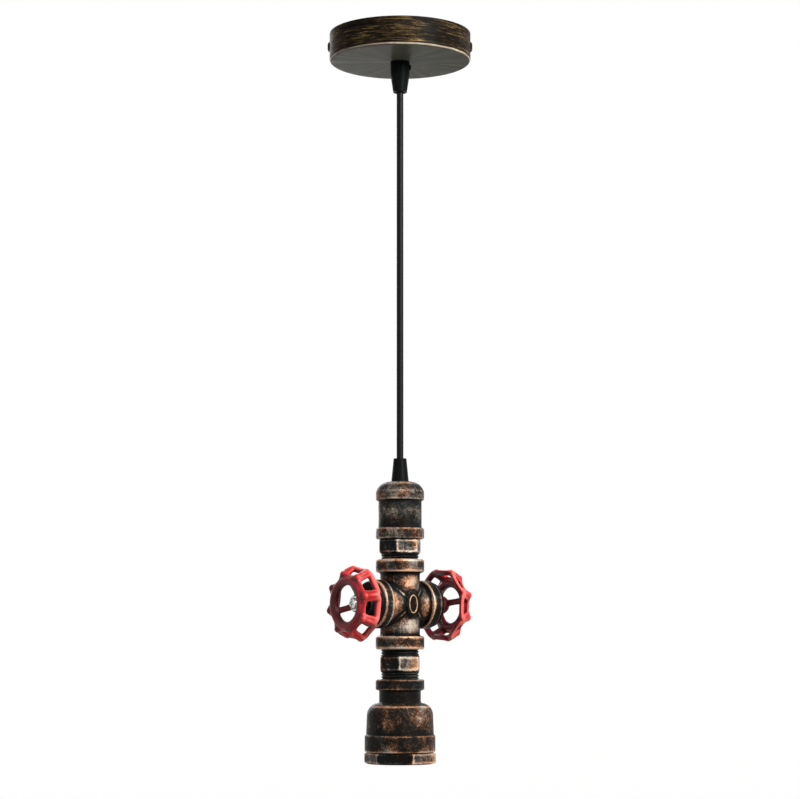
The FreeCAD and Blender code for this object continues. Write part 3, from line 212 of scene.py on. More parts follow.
def rounded_outline(corners, spacing):
    """Walk once round a closed outline of (radius, height, rounding) corners, in millimetres.

    The line is straight between corners and follows a circle's arc at each of them. Returns the
    points and how proud each one stands: every corner adds its turn, in quarter turns, times a bell
    curve of the distance to it, so a bare edge counts up and an inner corner counts down.
    """
    least_rounding = 0.05
    worn_width = 0.9
    corners = np.array(corners, float)
    place = corners[:, :2]
    after = np.roll(place, -1, axis=0)
    area = np.sum(place[:, 0] * after[:, 1] - after[:, 0] * place[:, 1])
    if area < 0:
        corners = corners[::-1]
        place = corners[:, :2]
    points = []
    turns = []
    marks = []
    for number, rounding in enumerate(corners[:, 2]):
        corner = place[number]
        arriving = unit(corner - place[number - 1])
        leaving = unit(place[(number + 1) % len(place)] - corner)
        turn = math.atan2(arriving[0] * leaving[1] - arriving[1] * leaving[0], arriving @ leaving)
        rounding = max(rounding, least_rounding)
        setback = rounding * math.tan(abs(turn) / 2)
        centre = corner - arriving * setback + math.copysign(rounding, turn) * np.array(
            [-arriving[1], arriving[0]])
        count = max(3, math.ceil(abs(turn) * rounding / spacing) + 1)
        start = corner - arriving * setback - centre
        swing = np.linspace(0, turn, count)
        arc = np.stack([start[0] * np.cos(swing) - start[1] * np.sin(swing),
                        start[0] * np.sin(swing) + start[1] * np.cos(swing)], axis=1) + centre
        marks.append(len(points) + count // 2)
        turns.append(turn / (math.pi / 2))
        points.extend(arc)
    line = np.array(points)
    marked = np.zeros(len(line))
    marked[marks] = turns
    following = np.roll(line, -1, axis=0)
    gaps = np.linalg.norm(following - line, axis=1)
    filled = []
    fed = []
    for start, end, gap, turn in zip(line, following, gaps, marked):
        share = np.linspace(0, 1, max(1, math.ceil(gap / spacing)), endpoint=False)[:, None]
        filled.append(start + (end - start) * share)
        fed.append(np.concatenate([[turn], np.zeros(len(share) - 1)]))
    line = np.concatenate(filled)
    fed = np.concatenate(fed)
    steps = np.linalg.norm(np.roll(line, -1, axis=0) - line, axis=1)
    along = np.concatenate([[0], np.cumsum(steps)[:-1]])
    total = steps.sum()
    corner_at = along[fed != 0]
    apart = np.abs(along[:, None] - corner_at)
    apart = np.minimum(apart, total - apart)
    proud = (fed[fed != 0] * np.exp(-(apart / worn_width) ** 2)).sum(axis=1)
    return line, proud


def turned(name, corners, spacing=0.5, columns=160, shapes=(), tones=()):
    """Turn an outline about the Z axis: x = r cos a, y = r sin a, z = h.

    Each shape may move the surface's radius and height at every height and angle, as a hexagon, a
    thread or a recess does, and say how much prouder that makes it. tones gives heights and how much
    prouder the surface counts there, as a raised ring does against its body. How proud each point
    stands, with the painted light and shade that a hexagon's flats may add, is kept as the attribute
    "proud", which the finishes read.
    """
    line, proud = rounded_outline(corners, spacing)
    if tones:
        proud = proud + np.interp(line[:, 1], *zip(*tones))
    angle = circle(columns)[None, :]
    radius = np.repeat(line[:, :1], columns, axis=1)
    height = np.repeat(line[:, 1:], columns, axis=1)
    proud = np.repeat(proud[:, None], columns, axis=1)
    for shape in shapes:
        radius, height, prouder = shape(radius, height, angle)
        proud = proud + prouder
    points = np.stack([radius * np.cos(angle), radius * np.sin(angle), height], axis=-1)
    mesh = grid_mesh(name, points)
    set_proud(mesh, proud.reshape(-1))
    return clean(mesh)


def set_proud(mesh, values):
    """Store how proud each point of a mesh stands."""
    mark = mesh.attributes.new("proud", "FLOAT", "POINT")
    mark.data.foreach_set("value", np.asarray(values, np.float32))


def change_proud(mesh, change):
    """Pass how proud the points stand through a function."""
    mark = mesh.attributes["proud"]
    proud = np.zeros(len(mesh.vertices), np.float32)
    mark.data.foreach_get("value", proud)
    mark.data.foreach_set("value", np.asarray(change(proud), np.float32))


def hexagon(flats, turn, low, high, tones=(0.3, 0.0, -0.5, 0.38, 0.1, -0.2)):
    """Return a shape that trims a turned blank to a hexagon between two heights.

    The flat's distance is f / cos(a - the nearest flat's middle), and a soft minimum of it and the
    blank's own radius leaves a narrow round edge. tones says how proud each flat counts: an uneven
    wiping, and by default also painted light and shade, lighter on the flats that turn to the key
    light and darker on those turned from it.
    """
    sixth = math.pi / 3
    sharpness = 9
    edge_width = 0.05
    edge_tone = 0.9

    def shape(radius, height, angle):
        middle = math.radians(turn + 30)
        number = np.floor((angle - middle + sixth / 2) / sixth).astype(int) % 6
        off = (angle - middle + sixth / 2) % sixth - sixth / 2
        flat = flats / 2 / np.cos(off)
        soft = -np.log(np.exp(-sharpness * radius) + np.exp(-sharpness * flat)) / sharpness
        within = (height >= low - 1e-6) & (height <= high + 1e-6) & (radius > flats / 2 - 0.05)
        edge = np.exp(-((np.abs(off) - sixth / 2) / edge_width) ** 2)
        trimmed = np.where(within, np.minimum(soft, radius), radius)
        return trimmed, height, np.where(within, edge_tone * edge + np.array(tones)[number], 0.0)
    return shape


def thread(outside, pitch, depth, low, high):
    """Return a shape that cuts a right-handed thread between two heights.

    The groove's depth is (1 - cos(2 pi (h / pitch - a / 2 pi))) / 2 to the power 0.8, and it fades in
    over half a pitch at both ends. Its bottom counts as deep and its crest as bare.
    """
    crest_tone, bottom_tone = 0.6, -0.9

    def shape(radius, height, angle):
        phase = height / pitch - angle / (2 * math.pi)
        groove = ((1 - np.cos(2 * math.pi * phase)) / 2) ** 0.8
        fade = np.clip(np.minimum(height - low, high - height) / (pitch / 2), 0, 1)
        within = (height > low) & (height < high) & (np.abs(radius - outside) < 0.3)
        tone = crest_tone - (crest_tone - bottom_tone) * groove
        return (np.where(within, radius - depth * groove * fade, radius), height,
                np.where(within, fade * tone, 0.0))
    return shape


def cross_recess(depth, width, reach, top):
    """Return a shape that sinks a cross for a screwdriver into a head's top.

    The depth fades out over the slope's width at each arm's sides, |x| = width or |y| = width, and
    over twice that at its end, r = reach.
    """
    slope = 0.25
    head_height = 0.9
    tone = -0.9

    def shape(radius, height, angle):
        across = np.minimum(np.abs(radius * np.cos(angle)), np.abs(radius * np.sin(angle)))
        inside = (np.clip((width - across) / slope + 0.5, 0, 1)
                  * np.clip((reach - radius) / (2 * slope), 0, 1))
        inside = np.where(height > top - head_height, inside, 0.0)
        return radius, height - depth * inside, tone * inside
    return shape


def node_shape(node):
    """Copy a CAD node's shape, with the points of its loose triangles merged."""
    mesh = frame["nodes"][node].data.copy()
    work = bmesh.new()
    work.from_mesh(mesh)
    bmesh.ops.remove_doubles(work, verts=work.verts, dist=1e-6)
    work.to_mesh(mesh)
    work.free()
    return mesh


def cast(name, parts, voxel, rounds):
    """Join closed shapes into one casting and soften all its edges.

    The shapes are rebuilt together on a grid of the voxel's size and smoothed a number of rounds.
    """
    joined = bpy.data.meshes.new(name)
    work = bmesh.new()
    for part in parts:
        work.from_mesh(part)
        bpy.data.meshes.remove(part)
    work.to_mesh(joined)
    work.free()
    carrier = bpy.data.objects.new(name, joined)
    bpy.context.scene.collection.objects.link(carrier)
    rebuild = carrier.modifiers.new("rebuild", "REMESH")
    rebuild.mode = "VOXEL"
    rebuild.voxel_size = voxel * MM
    soften = carrier.modifiers.new("soften", "SMOOTH")
    soften.factor = 0.5
    soften.iterations = rounds
    state = bpy.context.evaluated_depsgraph_get()
    casting = bpy.data.meshes.new_from_object(carrier.evaluated_get(state))
    casting.name = name
    bpy.data.objects.remove(carrier)
    bpy.data.meshes.remove(joined)
    mark_proud(casting)
    casting.shade_smooth()
    return casting


def vectors(mesh, name):
    """Read the places ("co") or the normals ("normal") of a mesh's points."""
    values = np.zeros(len(mesh.vertices) * 3)
    mesh.vertices.foreach_get(name, values)
    return values.reshape(-1, 3)


def mark_proud(mesh, rounds=14, full=0.22):
    """Store how proud each point of an even mesh stands.

    It is the distance to where some rounds of smoothing would take the point, along its normal, and
    it counts as 1 at the full distance.
    """
    count = len(mesh.vertices)
    place = vectors(mesh, "co")
    ends = np.zeros(len(mesh.edges) * 2, np.int64)
    mesh.edges.foreach_get("vertices", ends)
    ends = ends.reshape(-1, 2)
    degree = np.bincount(ends.ravel(), minlength=count)[:, None]
    soft = place.copy()
    for _ in range(rounds):
        total = np.zeros_like(soft)
        for axis in range(3):
            total[:, axis] = (np.bincount(ends[:, 0], soft[ends[:, 1], axis], count)
                              + np.bincount(ends[:, 1], soft[ends[:, 0], axis], count))
        soft = total / degree
    height = ((place - soft) * vectors(mesh, "normal")).sum(axis=1) / MM
    set_proud(mesh, height / full)


class Finish:
    """A procedural material: a Principled shader and short ways to feed it."""

    def __init__(self, name, **settings):
        self.material = bpy.data.materials.new(name)
        self.material.use_nodes = True
        self.tree = self.material.node_tree
        self.shader = self.tree.nodes["Principled BSDF"]
        self.place = self.tree.nodes.new("ShaderNodeTexCoord").outputs["Object"]
        for setting, value in settings.items():
            socket = setting.replace("_", " ").title().replace("Ior", "IOR")
            self.shader.inputs[socket].default_value = value

    def node(self, kind, **settings):
        node = self.tree.nodes.new(kind)
        for setting, value in settings.items():
            setattr(node, setting, value)
        return node

    def set(self, socket, source):
        """Give a socket a constant, or join another node's output to it."""
        if isinstance(source, bpy.types.NodeSocket):
            self.tree.links.new(source, socket)
        else:
            socket.default_value = source

    def noise(self, scale, detail=3.0, roughness=0.55, stretch=(1.0, 1.0, 1.0), waviness=0.0):
        """Noise on the object's own coordinates; scale is in waves to the metre."""
        mapping = self.node("ShaderNodeMapping")
        self.set(mapping.inputs["Vector"], self.place)
        self.set(mapping.inputs["Scale"], stretch)
        noise = self.node("ShaderNodeTexNoise")
        self.set(noise.inputs["Vector"], mapping.outputs["Vector"])
        self.set(noise.inputs["Scale"], scale)
        self.set(noise.inputs["Detail"], detail)
        self.set(noise.inputs["Roughness"], roughness)
        self.set(noise.inputs["Distortion"], waviness)
        return noise.outputs["Fac"]

    def rays(self, scale):
        """Noise on the direction from the Z axis, so that it runs in rays from the middle."""
        flat = self.node("ShaderNodeMapping")
        self.set(flat.inputs["Vector"], self.place)
        self.set(flat.inputs["Scale"], (1.0, 1.0, 0.0))
        direction = self.node("ShaderNodeVectorMath", operation="NORMALIZE")
        self.set(direction.inputs[0], flat.outputs["Vector"])
        noise = self.node("ShaderNodeTexNoise")
        self.set(noise.inputs["Vector"], direction.outputs["Vector"])
        self.set(noise.inputs["Scale"], scale)
        self.set(noise.inputs["Detail"], 2.0)
        return noise.outputs["Fac"]

    def sum(self, *terms):
        """Add up (source, factor) terms; a plain number is added as it is."""
        total = None
        for term in terms:
            if isinstance(term, tuple):
                scaled = self.node("ShaderNodeMath", operation="MULTIPLY")
                self.set(scaled.inputs[0], term[0])
                self.set(scaled.inputs[1], term[1])
                term = scaled.outputs[0]
            if total is None:
                total = term
                continue
            adding = self.node("ShaderNodeMath", operation="ADD")
            self.set(adding.inputs[0], total)
            self.set(adding.inputs[1], term)
            total = adding.outputs[0]
        return total

    def proud(self):
        """How proud the surface stands here, with the painted light and shade that some pieces add to
        it, kept between -1 and 1.
        """
        mark = self.node("ShaderNodeAttribute", attribute_name="proud")
        limited = self.node("ShaderNodeClamp")
        self.set(limited.inputs["Value"], mark.outputs["Fac"])
        self.set(limited.inputs["Min"], -1.0)
        self.set(limited.inputs["Max"], 1.0)
        return limited.outputs["Result"]

    def height(self):
        """The height on the object, in metres."""
        split = self.node("ShaderNodeSeparateXYZ")
        self.set(split.inputs["Vector"], self.place)
        return split.outputs["Z"]

    def span(self, source, start, end):
        """Turn start to end into 0 to 1."""
        ranged = self.node("ShaderNodeMapRange")
        self.set(ranged.inputs["Value"], source)
        self.set(ranged.inputs["From Min"], start)
        self.set(ranged.inputs["From Max"], end)
        return ranged.outputs["Result"]

    def mix(self, share, first, second):
        """Blend two colours by a share of the second."""
        blend = self.node("ShaderNodeMix", data_type="RGBA")
        self.set(blend.inputs["Factor"], share)
        self.set(blend.inputs[6], first)
        self.set(blend.inputs[7], second)
        return blend.outputs[2]

    def steps(self, source, *stops):
        """Turn a number into a colour by (position, colour) stops."""
        ramp = self.node("ShaderNodeValToRGB")
        self.set(ramp.inputs["Fac"], source)
        elements = ramp.color_ramp.elements
        while len(elements) < len(stops):
            elements.new(0.5)
        for element, (position, colour) in zip(elements, stops):
            element.position = position
            element.color = (*colour, 1.0)
        return ramp.outputs["Color"]

    def level(self, source, low, high):
        """Turn 0 to 1 into low to high."""
        ranged = self.node("ShaderNodeMapRange")
        self.set(ranged.inputs["Value"], source)
        self.set(ranged.inputs["To Min"], low)
        self.set(ranged.inputs["To Max"], high)
        return ranged.outputs["Result"]

    def colour(self, source):
        self.set(self.shader.inputs["Base Color"], source)

    def rough(self, source):
        self.set(self.shader.inputs["Roughness"], source)

    def metal(self, source):
        self.set(self.shader.inputs["Metallic"], source)

    def relief(self, source, depth):
        """Bump by a number, up to a depth in metres."""
        bump = self.node("ShaderNodeBump")
        self.set(bump.inputs["Height"], source)
        self.set(bump.inputs["Distance"], depth)
        self.set(bump.inputs["Strength"], 1.0)
        self.set(self.shader.inputs["Normal"], bump.outputs["Normal"])


def aged_bronze(name="aged_bronze", grey_share=0.0):
    """Blackened cast metal, wiped back to brown on its open faces and to copper on its high spots.

    The black stays dull, and the more it is wiped back, the more it shines. A larger grey share turns
    more of the brown to a greyer tint.
    """
    finish = Finish(name, specular_ior_level=0.06)
    tints = finish.noise(80.0, 2.0, 0.5)
    broad = finish.noise(62.0, 2.0, 0.5)
    clouds = finish.noise(160.0, 3.0, 0.6)
    patches = finish.noise(400.0, 3.0, 0.65)
    grains = finish.noise(850.0, 2.0, 0.7)
    rubbed = finish.sum((finish.proud(), 0.46), (broad, 0.85), (clouds, 0.55), (patches, 0.55),
                        (grains, 0.75), -0.85)
    brown = finish.steps(
        rubbed,
        (0.28, (0.005, 0.004, 0.003)),
        (0.42, (0.016, 0.011, 0.008)),
        (0.53, (0.058, 0.031, 0.019)),
        (0.64, (0.155, 0.074, 0.040)),
        (0.78, (0.365, 0.185, 0.103)),
        (0.96, (0.640, 0.400, 0.255)),
    )
    grey = finish.steps(
        rubbed,
        (0.28, (0.005, 0.006, 0.006)),
        (0.42, (0.019, 0.020, 0.018)),
        (0.53, (0.058, 0.050, 0.042)),
        (0.64, (0.140, 0.112, 0.090)),
        (0.78, (0.300, 0.240, 0.190)),
        (0.96, (0.520, 0.430, 0.350)),
    )
    finish.colour(finish.mix(finish.span(tints, 0.48 - grey_share, 0.60 - grey_share), brown, grey))
    finish.metal(finish.level(finish.span(rubbed, 0.42, 0.85), 0.0, 0.35))
    finish.rough(finish.level(patches, 0.55, 0.30))
    finish.relief(finish.sum((grains, 0.5), (patches, 0.8)), 0.5 * MM)
    return finish.material


def brushed_bronze():
    """The cup's lacquer: a dark brown side brushed round with gold, a pale lower edge that is a painted
    highlight on its rounding, and a satin grey underside.

    The three follow the depth below the ceiling: the side down to 18.7 mm, the edge to 19.7 mm.
    """
    finish = Finish("brushed_bronze", specular_ior_level=0.02)
    streaks = finish.noise(30.0, 6.0, 0.75, (1.0, 1.0, 17.0), 1.2)
    fine = finish.noise(110.0, 5.0, 0.8, (1.0, 1.0, 15.0), 0.6)
    tints = finish.noise(22.0, 3.0, 0.5)
    mixed = finish.sum((streaks, 1.5), (fine, 1.5), (tints, 0.6), -1.33)
    side = finish.steps(
        mixed,
        (0.28, (0.005, 0.004, 0.003)),
        (0.48, (0.018, 0.012, 0.008)),
        (0.60, (0.060, 0.040, 0.017)),
        (0.74, (0.220, 0.148, 0.062)),
        (0.94, (0.520, 0.400, 0.230)),
    )
    rays = finish.sum((finish.rays(5.5), 0.7), (finish.noise(40.0, 4.0, 0.6), 0.3))
    under = finish.steps(rays, (0.38, (0.130, 0.127, 0.098)), (0.56, (0.180, 0.176, 0.136)),
                         (0.68, (0.290, 0.282, 0.220)))
    # A painted highlight: the pale band on the rounding of the lower edge.
    edge = finish.steps(mixed, (0.30, (0.360, 0.270, 0.190)), (0.60, (0.780, 0.660, 0.520)))
    depth = finish.height()
    lower = finish.mix(finish.span(depth, -0.0195, -0.0198), edge, under)
    finish.colour(finish.mix(finish.span(depth, -0.0185, -0.0189), side, lower))
    finish.rough(finish.level(fine, 0.34, 0.52))
    finish.relief(finish.sum((streaks, 0.5), (fine, 0.5)), 0.05 * MM)
    return finish.material


def red_paint():
    """Glossy red paint, with a painted pale pink highlight on its high, outer spots and painted dark
    maroon shade in creases and where it faces inwards.
    """
    finish = Finish("red_paint", specular_ior_level=0.30)
    clouds = finish.noise(70.0, 3.0, 0.5)
    # The ramp's dark end is painted shade and its pink top a painted highlight, both from how proud the
    # point stands; the clouds are the paint's own uneven tone.
    depth = finish.sum((finish.proud(), 0.60), (clouds, 0.45), 0.16)
    finish.colour(finish.steps(
        depth,
        (0.00, (0.115, 0.008, 0.013)),
        (0.20, (0.240, 0.011, 0.018)),
        (0.38, (0.500, 0.018, 0.020)),
        (0.58, (0.680, 0.048, 0.043)),
        (0.88, (0.840, 0.160, 0.135)),
    ))
    finish.rough(finish.level(clouds, 0.36, 0.50))
    finish.relief(finish.noise(420.0, 2.0, 0.5), 0.06 * MM)
    return finish.material


def plain(name, colour, metallic, roughness, grain, depth, gloss=0.5):
    """One colour with a little unevenness in its gloss and its surface."""
    finish = Finish(name, metallic=metallic, specular_ior_level=gloss)
    texture = finish.noise(grain, 3.0, 0.55)
    dark = tuple(part * 0.86 for part in colour)
    finish.colour(finish.steps(texture, (0.3, dark), (0.7, colour)))
    finish.rough(finish.level(texture, roughness * 0.8, roughness * 1.2))
    finish.relief(texture, depth * MM)
    return finish.material


FINISHES = {
    "aged_bronze": aged_bronze(),
    "greyed_bronze": aged_bronze("greyed_bronze", 0.09),
    "warm_bronze": aged_bronze("warm_bronze", -0.05),
    "brushed_bronze": brushed_bronze(),
    "red_paint": red_paint(),
    "zinc_steel": plain("zinc_steel", (0.56, 0.57, 0.58), 1.0, 0.38, 300.0, 0.02),
    "bright_steel": plain("bright_steel", (0.58, 0.58, 0.57), 1.0, 0.22, 500.0, 0.01),
    "terminal_plastic": plain("terminal_plastic", (0.74, 0.73, 0.69), 0.0, 0.45, 400.0, 0.01),
    "black_plastic": plain("black_plastic", (0.004, 0.005, 0.005), 0.0, 0.45, 700.0, 0.02, 0.04),
    "black_cord": plain("black_cord", (0.005, 0.005, 0.006), 0.0, 0.45, 500.0, 0.02, 0.10),
    "brown_core": plain("brown_core", (0.105, 0.038, 0.016), 0.0, 0.4, 500.0, 0.01),
    "blue_core": plain("blue_core", (0.018, 0.085, 0.330), 0.0, 0.4, 500.0, 0.01),
    "holder_plastic": plain("holder_plastic", (0.014, 0.013, 0.012), 0.0, 0.4, 600.0, 0.02),
    "nickel_shell": plain("nickel_shell", (0.60, 0.58, 0.54), 1.0, 0.25, 500.0, 0.01),
    "contact_brass": plain("contact_brass", (0.62, 0.42, 0.16), 1.0, 0.28, 500.0, 0.01),
}


def dress_cad_nodes():
    """Give every CAD node the finish of its own material slot in the record."""
    for part in frame["record"]["subparts"]:
        node = frame["nodes"][part["node"]]
        node.data.materials.clear()
        node.data.materials.append(FINISHES[part["material_slot"]])


def tube(name, line, radius, columns=20):
    """Carry a circle along a line, keeping its start from one point to the next without twist.

    The circle's first axis is carried on by taking away its part along the new direction.
    """
    ahead = np.gradient(line, axis=0)
    ahead /= np.linalg.norm(ahead, axis=1)[:, None]
    first = np.zeros_like(line)
    axis = np.array([0.0, 1.0, 0.0]) if abs(ahead[0][1]) < 0.9 else np.array([1.0, 0.0, 0.0])
    for number, way in enumerate(ahead):
        axis = unit(axis - way * (axis @ way))
        first[number] = axis
    second = np.cross(ahead, first)
    angle = circle(columns)[None, :, None]
    points = line[:, None, :] + radius * (np.cos(angle) * first[:, None, :]
                                          + np.sin(angle) * second[:, None, :])
    return clean(grid_mesh(name, capped(points, line) / MM, around_rows=False))


def make_cord():
    """One round cord: put away in the ceiling cup, down through its grip and into the lamp."""
    line = smooth_line("cord", cord_points())
    diameter = 4.8 * MM
    cord = add_piece("cord", tube("cord", line, diameter / 2), "lamp", "black_cord",
                     FINISHES["black_cord"], "cord_coil", "cord_in_grip", "hanging_cord", "cord_in_lamp")
    cord.parent = None
    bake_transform(cord)
    length = float(np.linalg.norm(np.diff(line, axis=0), axis=1).sum())
    print(f"cord: {length:.3f} m")


def make_coupling():
    """The coupling at the top: two rolled rings and a dome about the cord's line."""
    base = -358.0
    mesh = turned("coupling", [
        (BORE, base, 0.6), (RING, base, 1.2), (RING, base + 7.5, 1.3), (15.0, base + 7.9, 0.7),
        (15.0, base + 26.6, 0.7), (RING, base + 27.0, 1.1), (RING, base + 33.0, 1.6),
        (13.5, base + 39.2, 9.5), (6.5, base + 40.0, 0.5), (5.0, base + 40.0, 0.1),
        (5.0, base + 36.5, 0.1), (11.0, base + 36.0, 1.0), (11.0, base + 12.5, 0.1),
        (BORE, base + 12.5, 0.1)], tones=(
            (base, -0.3), (base + 2.5, 0.2), (base + 6.5, 0.2), (base + 8.0, -0.6), (base + 14.0, 0.0),
            (base + 20.0, 0.1), (base + 26.5, -0.6), (base + 27.1, -0.4), (base + 29.5, 0.1),
            (base + 33.0, 0.0), (base + 36.0, -0.3), (base + 39.0, 0.3), (base + 40.0, -0.1)))
    add_piece("coupling", mesh, "lamp", "aged_bronze", FINISHES["greyed_bronze"], "top_coupling")


def make_nipple(name, node, hex_base, hex_height, turn, above, below):
    """A threaded nipple: a hexagon between two lengths of pipe thread.

    The hexagon is turned by some degrees, and the threads reach above and below it by the given
    lengths.
    """
    hex_top = hex_base + hex_height
    low, high = hex_base - below, hex_top + above
    bore, corners, flats = 9.5, 15.35, 26.6
    pitch, depth = 1.814, 0.95
    mesh = turned(name, [
        (bore, low, 0.3), (12.4, low, 0.2), (THREAD, low + 0.8, 0.2), (THREAD, hex_base, 0.1),
        (13.5, hex_base, 0.1), (corners, hex_base + 1.1, 0.4), (corners, hex_top - 1.1, 0.4),
        (13.5, hex_top, 0.1), (THREAD, hex_top, 0.1), (THREAD, high - 0.8, 0.2), (12.4, high, 0.2),
        (bore, high, 0.3)], spacing=0.3, columns=168, shapes=(
            hexagon(flats, turn, hex_base, hex_top),
            thread(THREAD, pitch, depth, low + 1.0, hex_base - 0.2),
            thread(THREAD, pitch, depth, hex_top + 0.2, high - 1.0)), tones=(
            (hex_base - 0.1, -0.6), (hex_base + 0.2, 0.0), (hex_top - 0.2, 0.0), (hex_top + 0.1, -0.6)))
    add_piece(name, mesh, "lamp", "aged_bronze", FINISHES["greyed_bronze"], node)


def make_bell():
    """The bell: a ring, a neck, a round shoulder, a skirt and a wide ring round its mouth."""
    base = -504.0
    top = base + 49.5
    mesh = turned("bell", [
        (21.0, base, 0.5), (24.3, base, 1.1), (24.3, base + 11.3, 1.0), (23.3, base + 11.9, 0.7),
        (22.75, base + 25.0, 4.0), (22.3, base + 32.9, 8.2), (14.35, base + 33.5, 1.2),
        (14.35, base + 41.9, 0.8), (RING, base + 42.4, 1.1), (RING, top, 1.2), (BORE, top, 0.6),
        (BORE, top - 9.3, 0.1), (11.0, top - 9.3, 0.1), (11.0, base + 27.0, 0.3),
        (20.4, base + 27.0, 3.0), (20.4, base + 12.5, 0.1), (21.0, base + 12.5, 0.1)],
        columns=200, tones=(
            (base, -0.1), (base + 11.3, -0.1), (base + 12.0, -0.5), (base + 18.0, -0.1),
            (base + 25.0, 0.0), (base + 29.0, 0.05), (base + 33.6, -0.1), (base + 34.5, -0.6),
            (base + 41.5, -0.6), (base + 42.4, -0.55), (base + 45.5, -0.3), (top, -0.5)))
    add_piece("bell", mesh, "lamp", "aged_bronze", FINISHES["warm_bronze"], "bell_reducer")


def make_mouth_bushing():
    """The bushing in the bell's mouth: a thin hexagon over a thread."""
    base = -512.0
    hex_top, top = base + 8.0, base + 20.0
    bore, thread_radius, corners, flats = 19.3, 20.9, 24.95, 43.3
    mesh = turned("bell_mouth_bushing", [
        (bore, base, 0.4), (22.0, base, 0.3), (corners, base + 1.0, 0.4), (corners, base + 7.0, 0.4),
        (22.0, hex_top, 0.3), (thread_radius, hex_top, 0.1), (thread_radius, top, 0.3),
        (bore, top, 0.3)], columns=240, shapes=(
            hexagon(flats, 13.0, base, hex_top, (0.0, -0.3, -0.1, -0.95, 0.0, 0.1)),))
    add_piece("bell_mouth_bushing", mesh, "lamp", "aged_bronze", FINISHES["aged_bronze"],
              "mouth_bushing")


def side_frame(side):
    """The frame of a side port: its local Z runs outward along the valve stem."""
    quarter = math.radians(90.0 if side == "right" else -90.0)
    return Matrix.Translation((0, 0, CROSS_HEIGHT * MM)) @ Matrix.Rotation(quarter, 4, "Y")


def wheel_frame(side):
    """The frame of a hand wheel at rest, turned about its stem."""
    turn = math.radians(138.5 if side == "right" else -9.5)
    return side_frame(side) @ Matrix.Rotation(turn, 4, "Z")


def make_side_plugs():
    """Two screwed plugs: a thread, a round flange and a neck round the valve stem."""
    stem_bore = 4.05
    for side in ("left", "right"):
        mesh = turned(f"{side}_plug", [
            (stem_bore, 15.5, 0.2), (THREAD, 15.5, 0.3), (THREAD, 24.5, 0.1), (15.5, 24.5, 0.5),
            (15.5, 27.5, 0.9), (8.4, 27.5, 1.2), (8.0, 31.0, 0.8), (stem_bore, 31.0, 0.2)],
            columns=144, tones=((24.4, -1.2), (24.6, -1.1), (27.4, -1.1), (28.0, -1.0)))
        mesh.transform(side_frame(side))
        add_piece(f"{side}_plug", mesh, "lamp", "aged_bronze", FINISHES["aged_bronze"],
                  f"{side}_side_plug")


def ring(name, major, minor, height):
    """A round ring: (R + r cos b) (cos a, sin a) and h + r sin b."""
    angle = circle(128)[None, :]
    turn = circle(24)[:, None]
    radius = major + minor * np.cos(turn) + 0 * angle
    points = np.stack([radius * np.cos(angle), radius * np.sin(angle),
                       height + minor * np.sin(turn) + 0 * angle], axis=-1)
    return clean(grid_mesh(name, points))


def ball(name, centre, radius):
    """A ball: c + r (sin b cos a, sin b sin a, cos b)."""
    angle = circle(24)[None, :]
    fall = np.linspace(0, math.pi, 13)[:, None]
    points = np.stack([radius * np.sin(fall) * np.cos(angle), radius * np.sin(fall) * np.sin(angle),
                       radius * np.cos(fall) + 0 * angle], axis=-1) + np.asarray(centre)
    return clean(grid_mesh(name, points, around_rows=False))


def window_frame(name, number):
    """The frame of one window of a hand wheel, a flat bar carried round the window and closed.

    Its middle line is the rounded trapezium u = U(w) |cos t|^(1/2), w = 41.1 + 4.6 |sin t|^(1/2),
    signs kept, on the cage's side. The side stands at the distance of its corners' middle, less a
    hollow that goes as 1 - (u / half the side) squared and deepens towards the front. The bar's
    section is the superellipse (A |cos b|^0.7, B |sin b|^0.7), 2A wide in the side and 2B thick.
    """
    turn = circle(120)
    middle, half_depth = 41.1, 4.6
    depth = middle + half_depth * signed_power(np.sin(turn), 0.5)
    aside = (9.0 - 2.0 * (depth - 36.5) / 9.2) * signed_power(np.cos(turn), 0.5)

    def on_side(aside, depth, sink):
        """Place points on the hollow side, sunk below its face by some millimetres."""
        back, length = 34.8, 13.6
        share = (depth - back) / length
        corner = 27.5 - 4.6 * share - 1.2 * np.abs(share) ** 3
        half = corner * math.sin(math.pi / 8)
        hollow = 0.6 + 2.8 * np.abs(share) * share
        stand = corner * math.cos(math.pi / 8) - hollow * (1 - (aside / half) ** 2)
        facing = math.radians(45.0 * number)
        return np.stack([(stand - sink) * math.cos(facing) - aside * math.sin(facing),
                         (stand - sink) * math.sin(facing) + aside * math.cos(facing),
                         depth + 0 * aside], axis=-1)

    outward = np.stack([np.gradient(depth), -np.gradient(aside)], axis=-1)
    outward /= np.linalg.norm(outward, axis=1)[:, None]
    across = np.abs(outward[:, 1])
    width = 2.75 - 1.0 * across
    half_thickness = 1.75
    around = circle(16)
    reach = width[:, None] * signed_power(np.cos(around), 0.7)
    points = on_side(aside[:, None] + outward[:, :1] * reach, depth[:, None] + outward[:, 1:] * reach,
                     half_thickness - half_thickness * signed_power(np.sin(around), 0.7))
    return clean(grid_mesh(name, points))


def bar(name, angle, start, end, bend, half_width, half_height):
    """A cast bar between two (radius, height) points at an angle about the stem.

    Its line is start + (end - start) (s, s^bend). The section is an oval that narrows by an
    eighth midway.
    """
    share = np.linspace(0, 1, 40)
    radius = start[0] + (end[0] - start[0]) * share
    line = np.stack([radius * math.cos(angle), radius * math.sin(angle),
                     start[1] + (end[1] - start[1]) * share ** bend], axis=1)
    size = 1.0 - 0.12 * np.sin(math.pi * share)
    ahead = np.gradient(line, axis=0)
    ahead /= np.linalg.norm(ahead, axis=1)[:, None]
    sideways = np.broadcast_to([-math.sin(angle), math.cos(angle), 0.0], ahead.shape)
    upward = np.cross(ahead, sideways)
    around = circle(16)[None, :, None]
    points = line[:, None] + size[:, None, None] * (half_width * np.cos(around) * sideways[:, None]
                                                    + half_height * np.sin(around) * upward[:, None])
    return clean(grid_mesh(name, capped(points, line), around_rows=False))


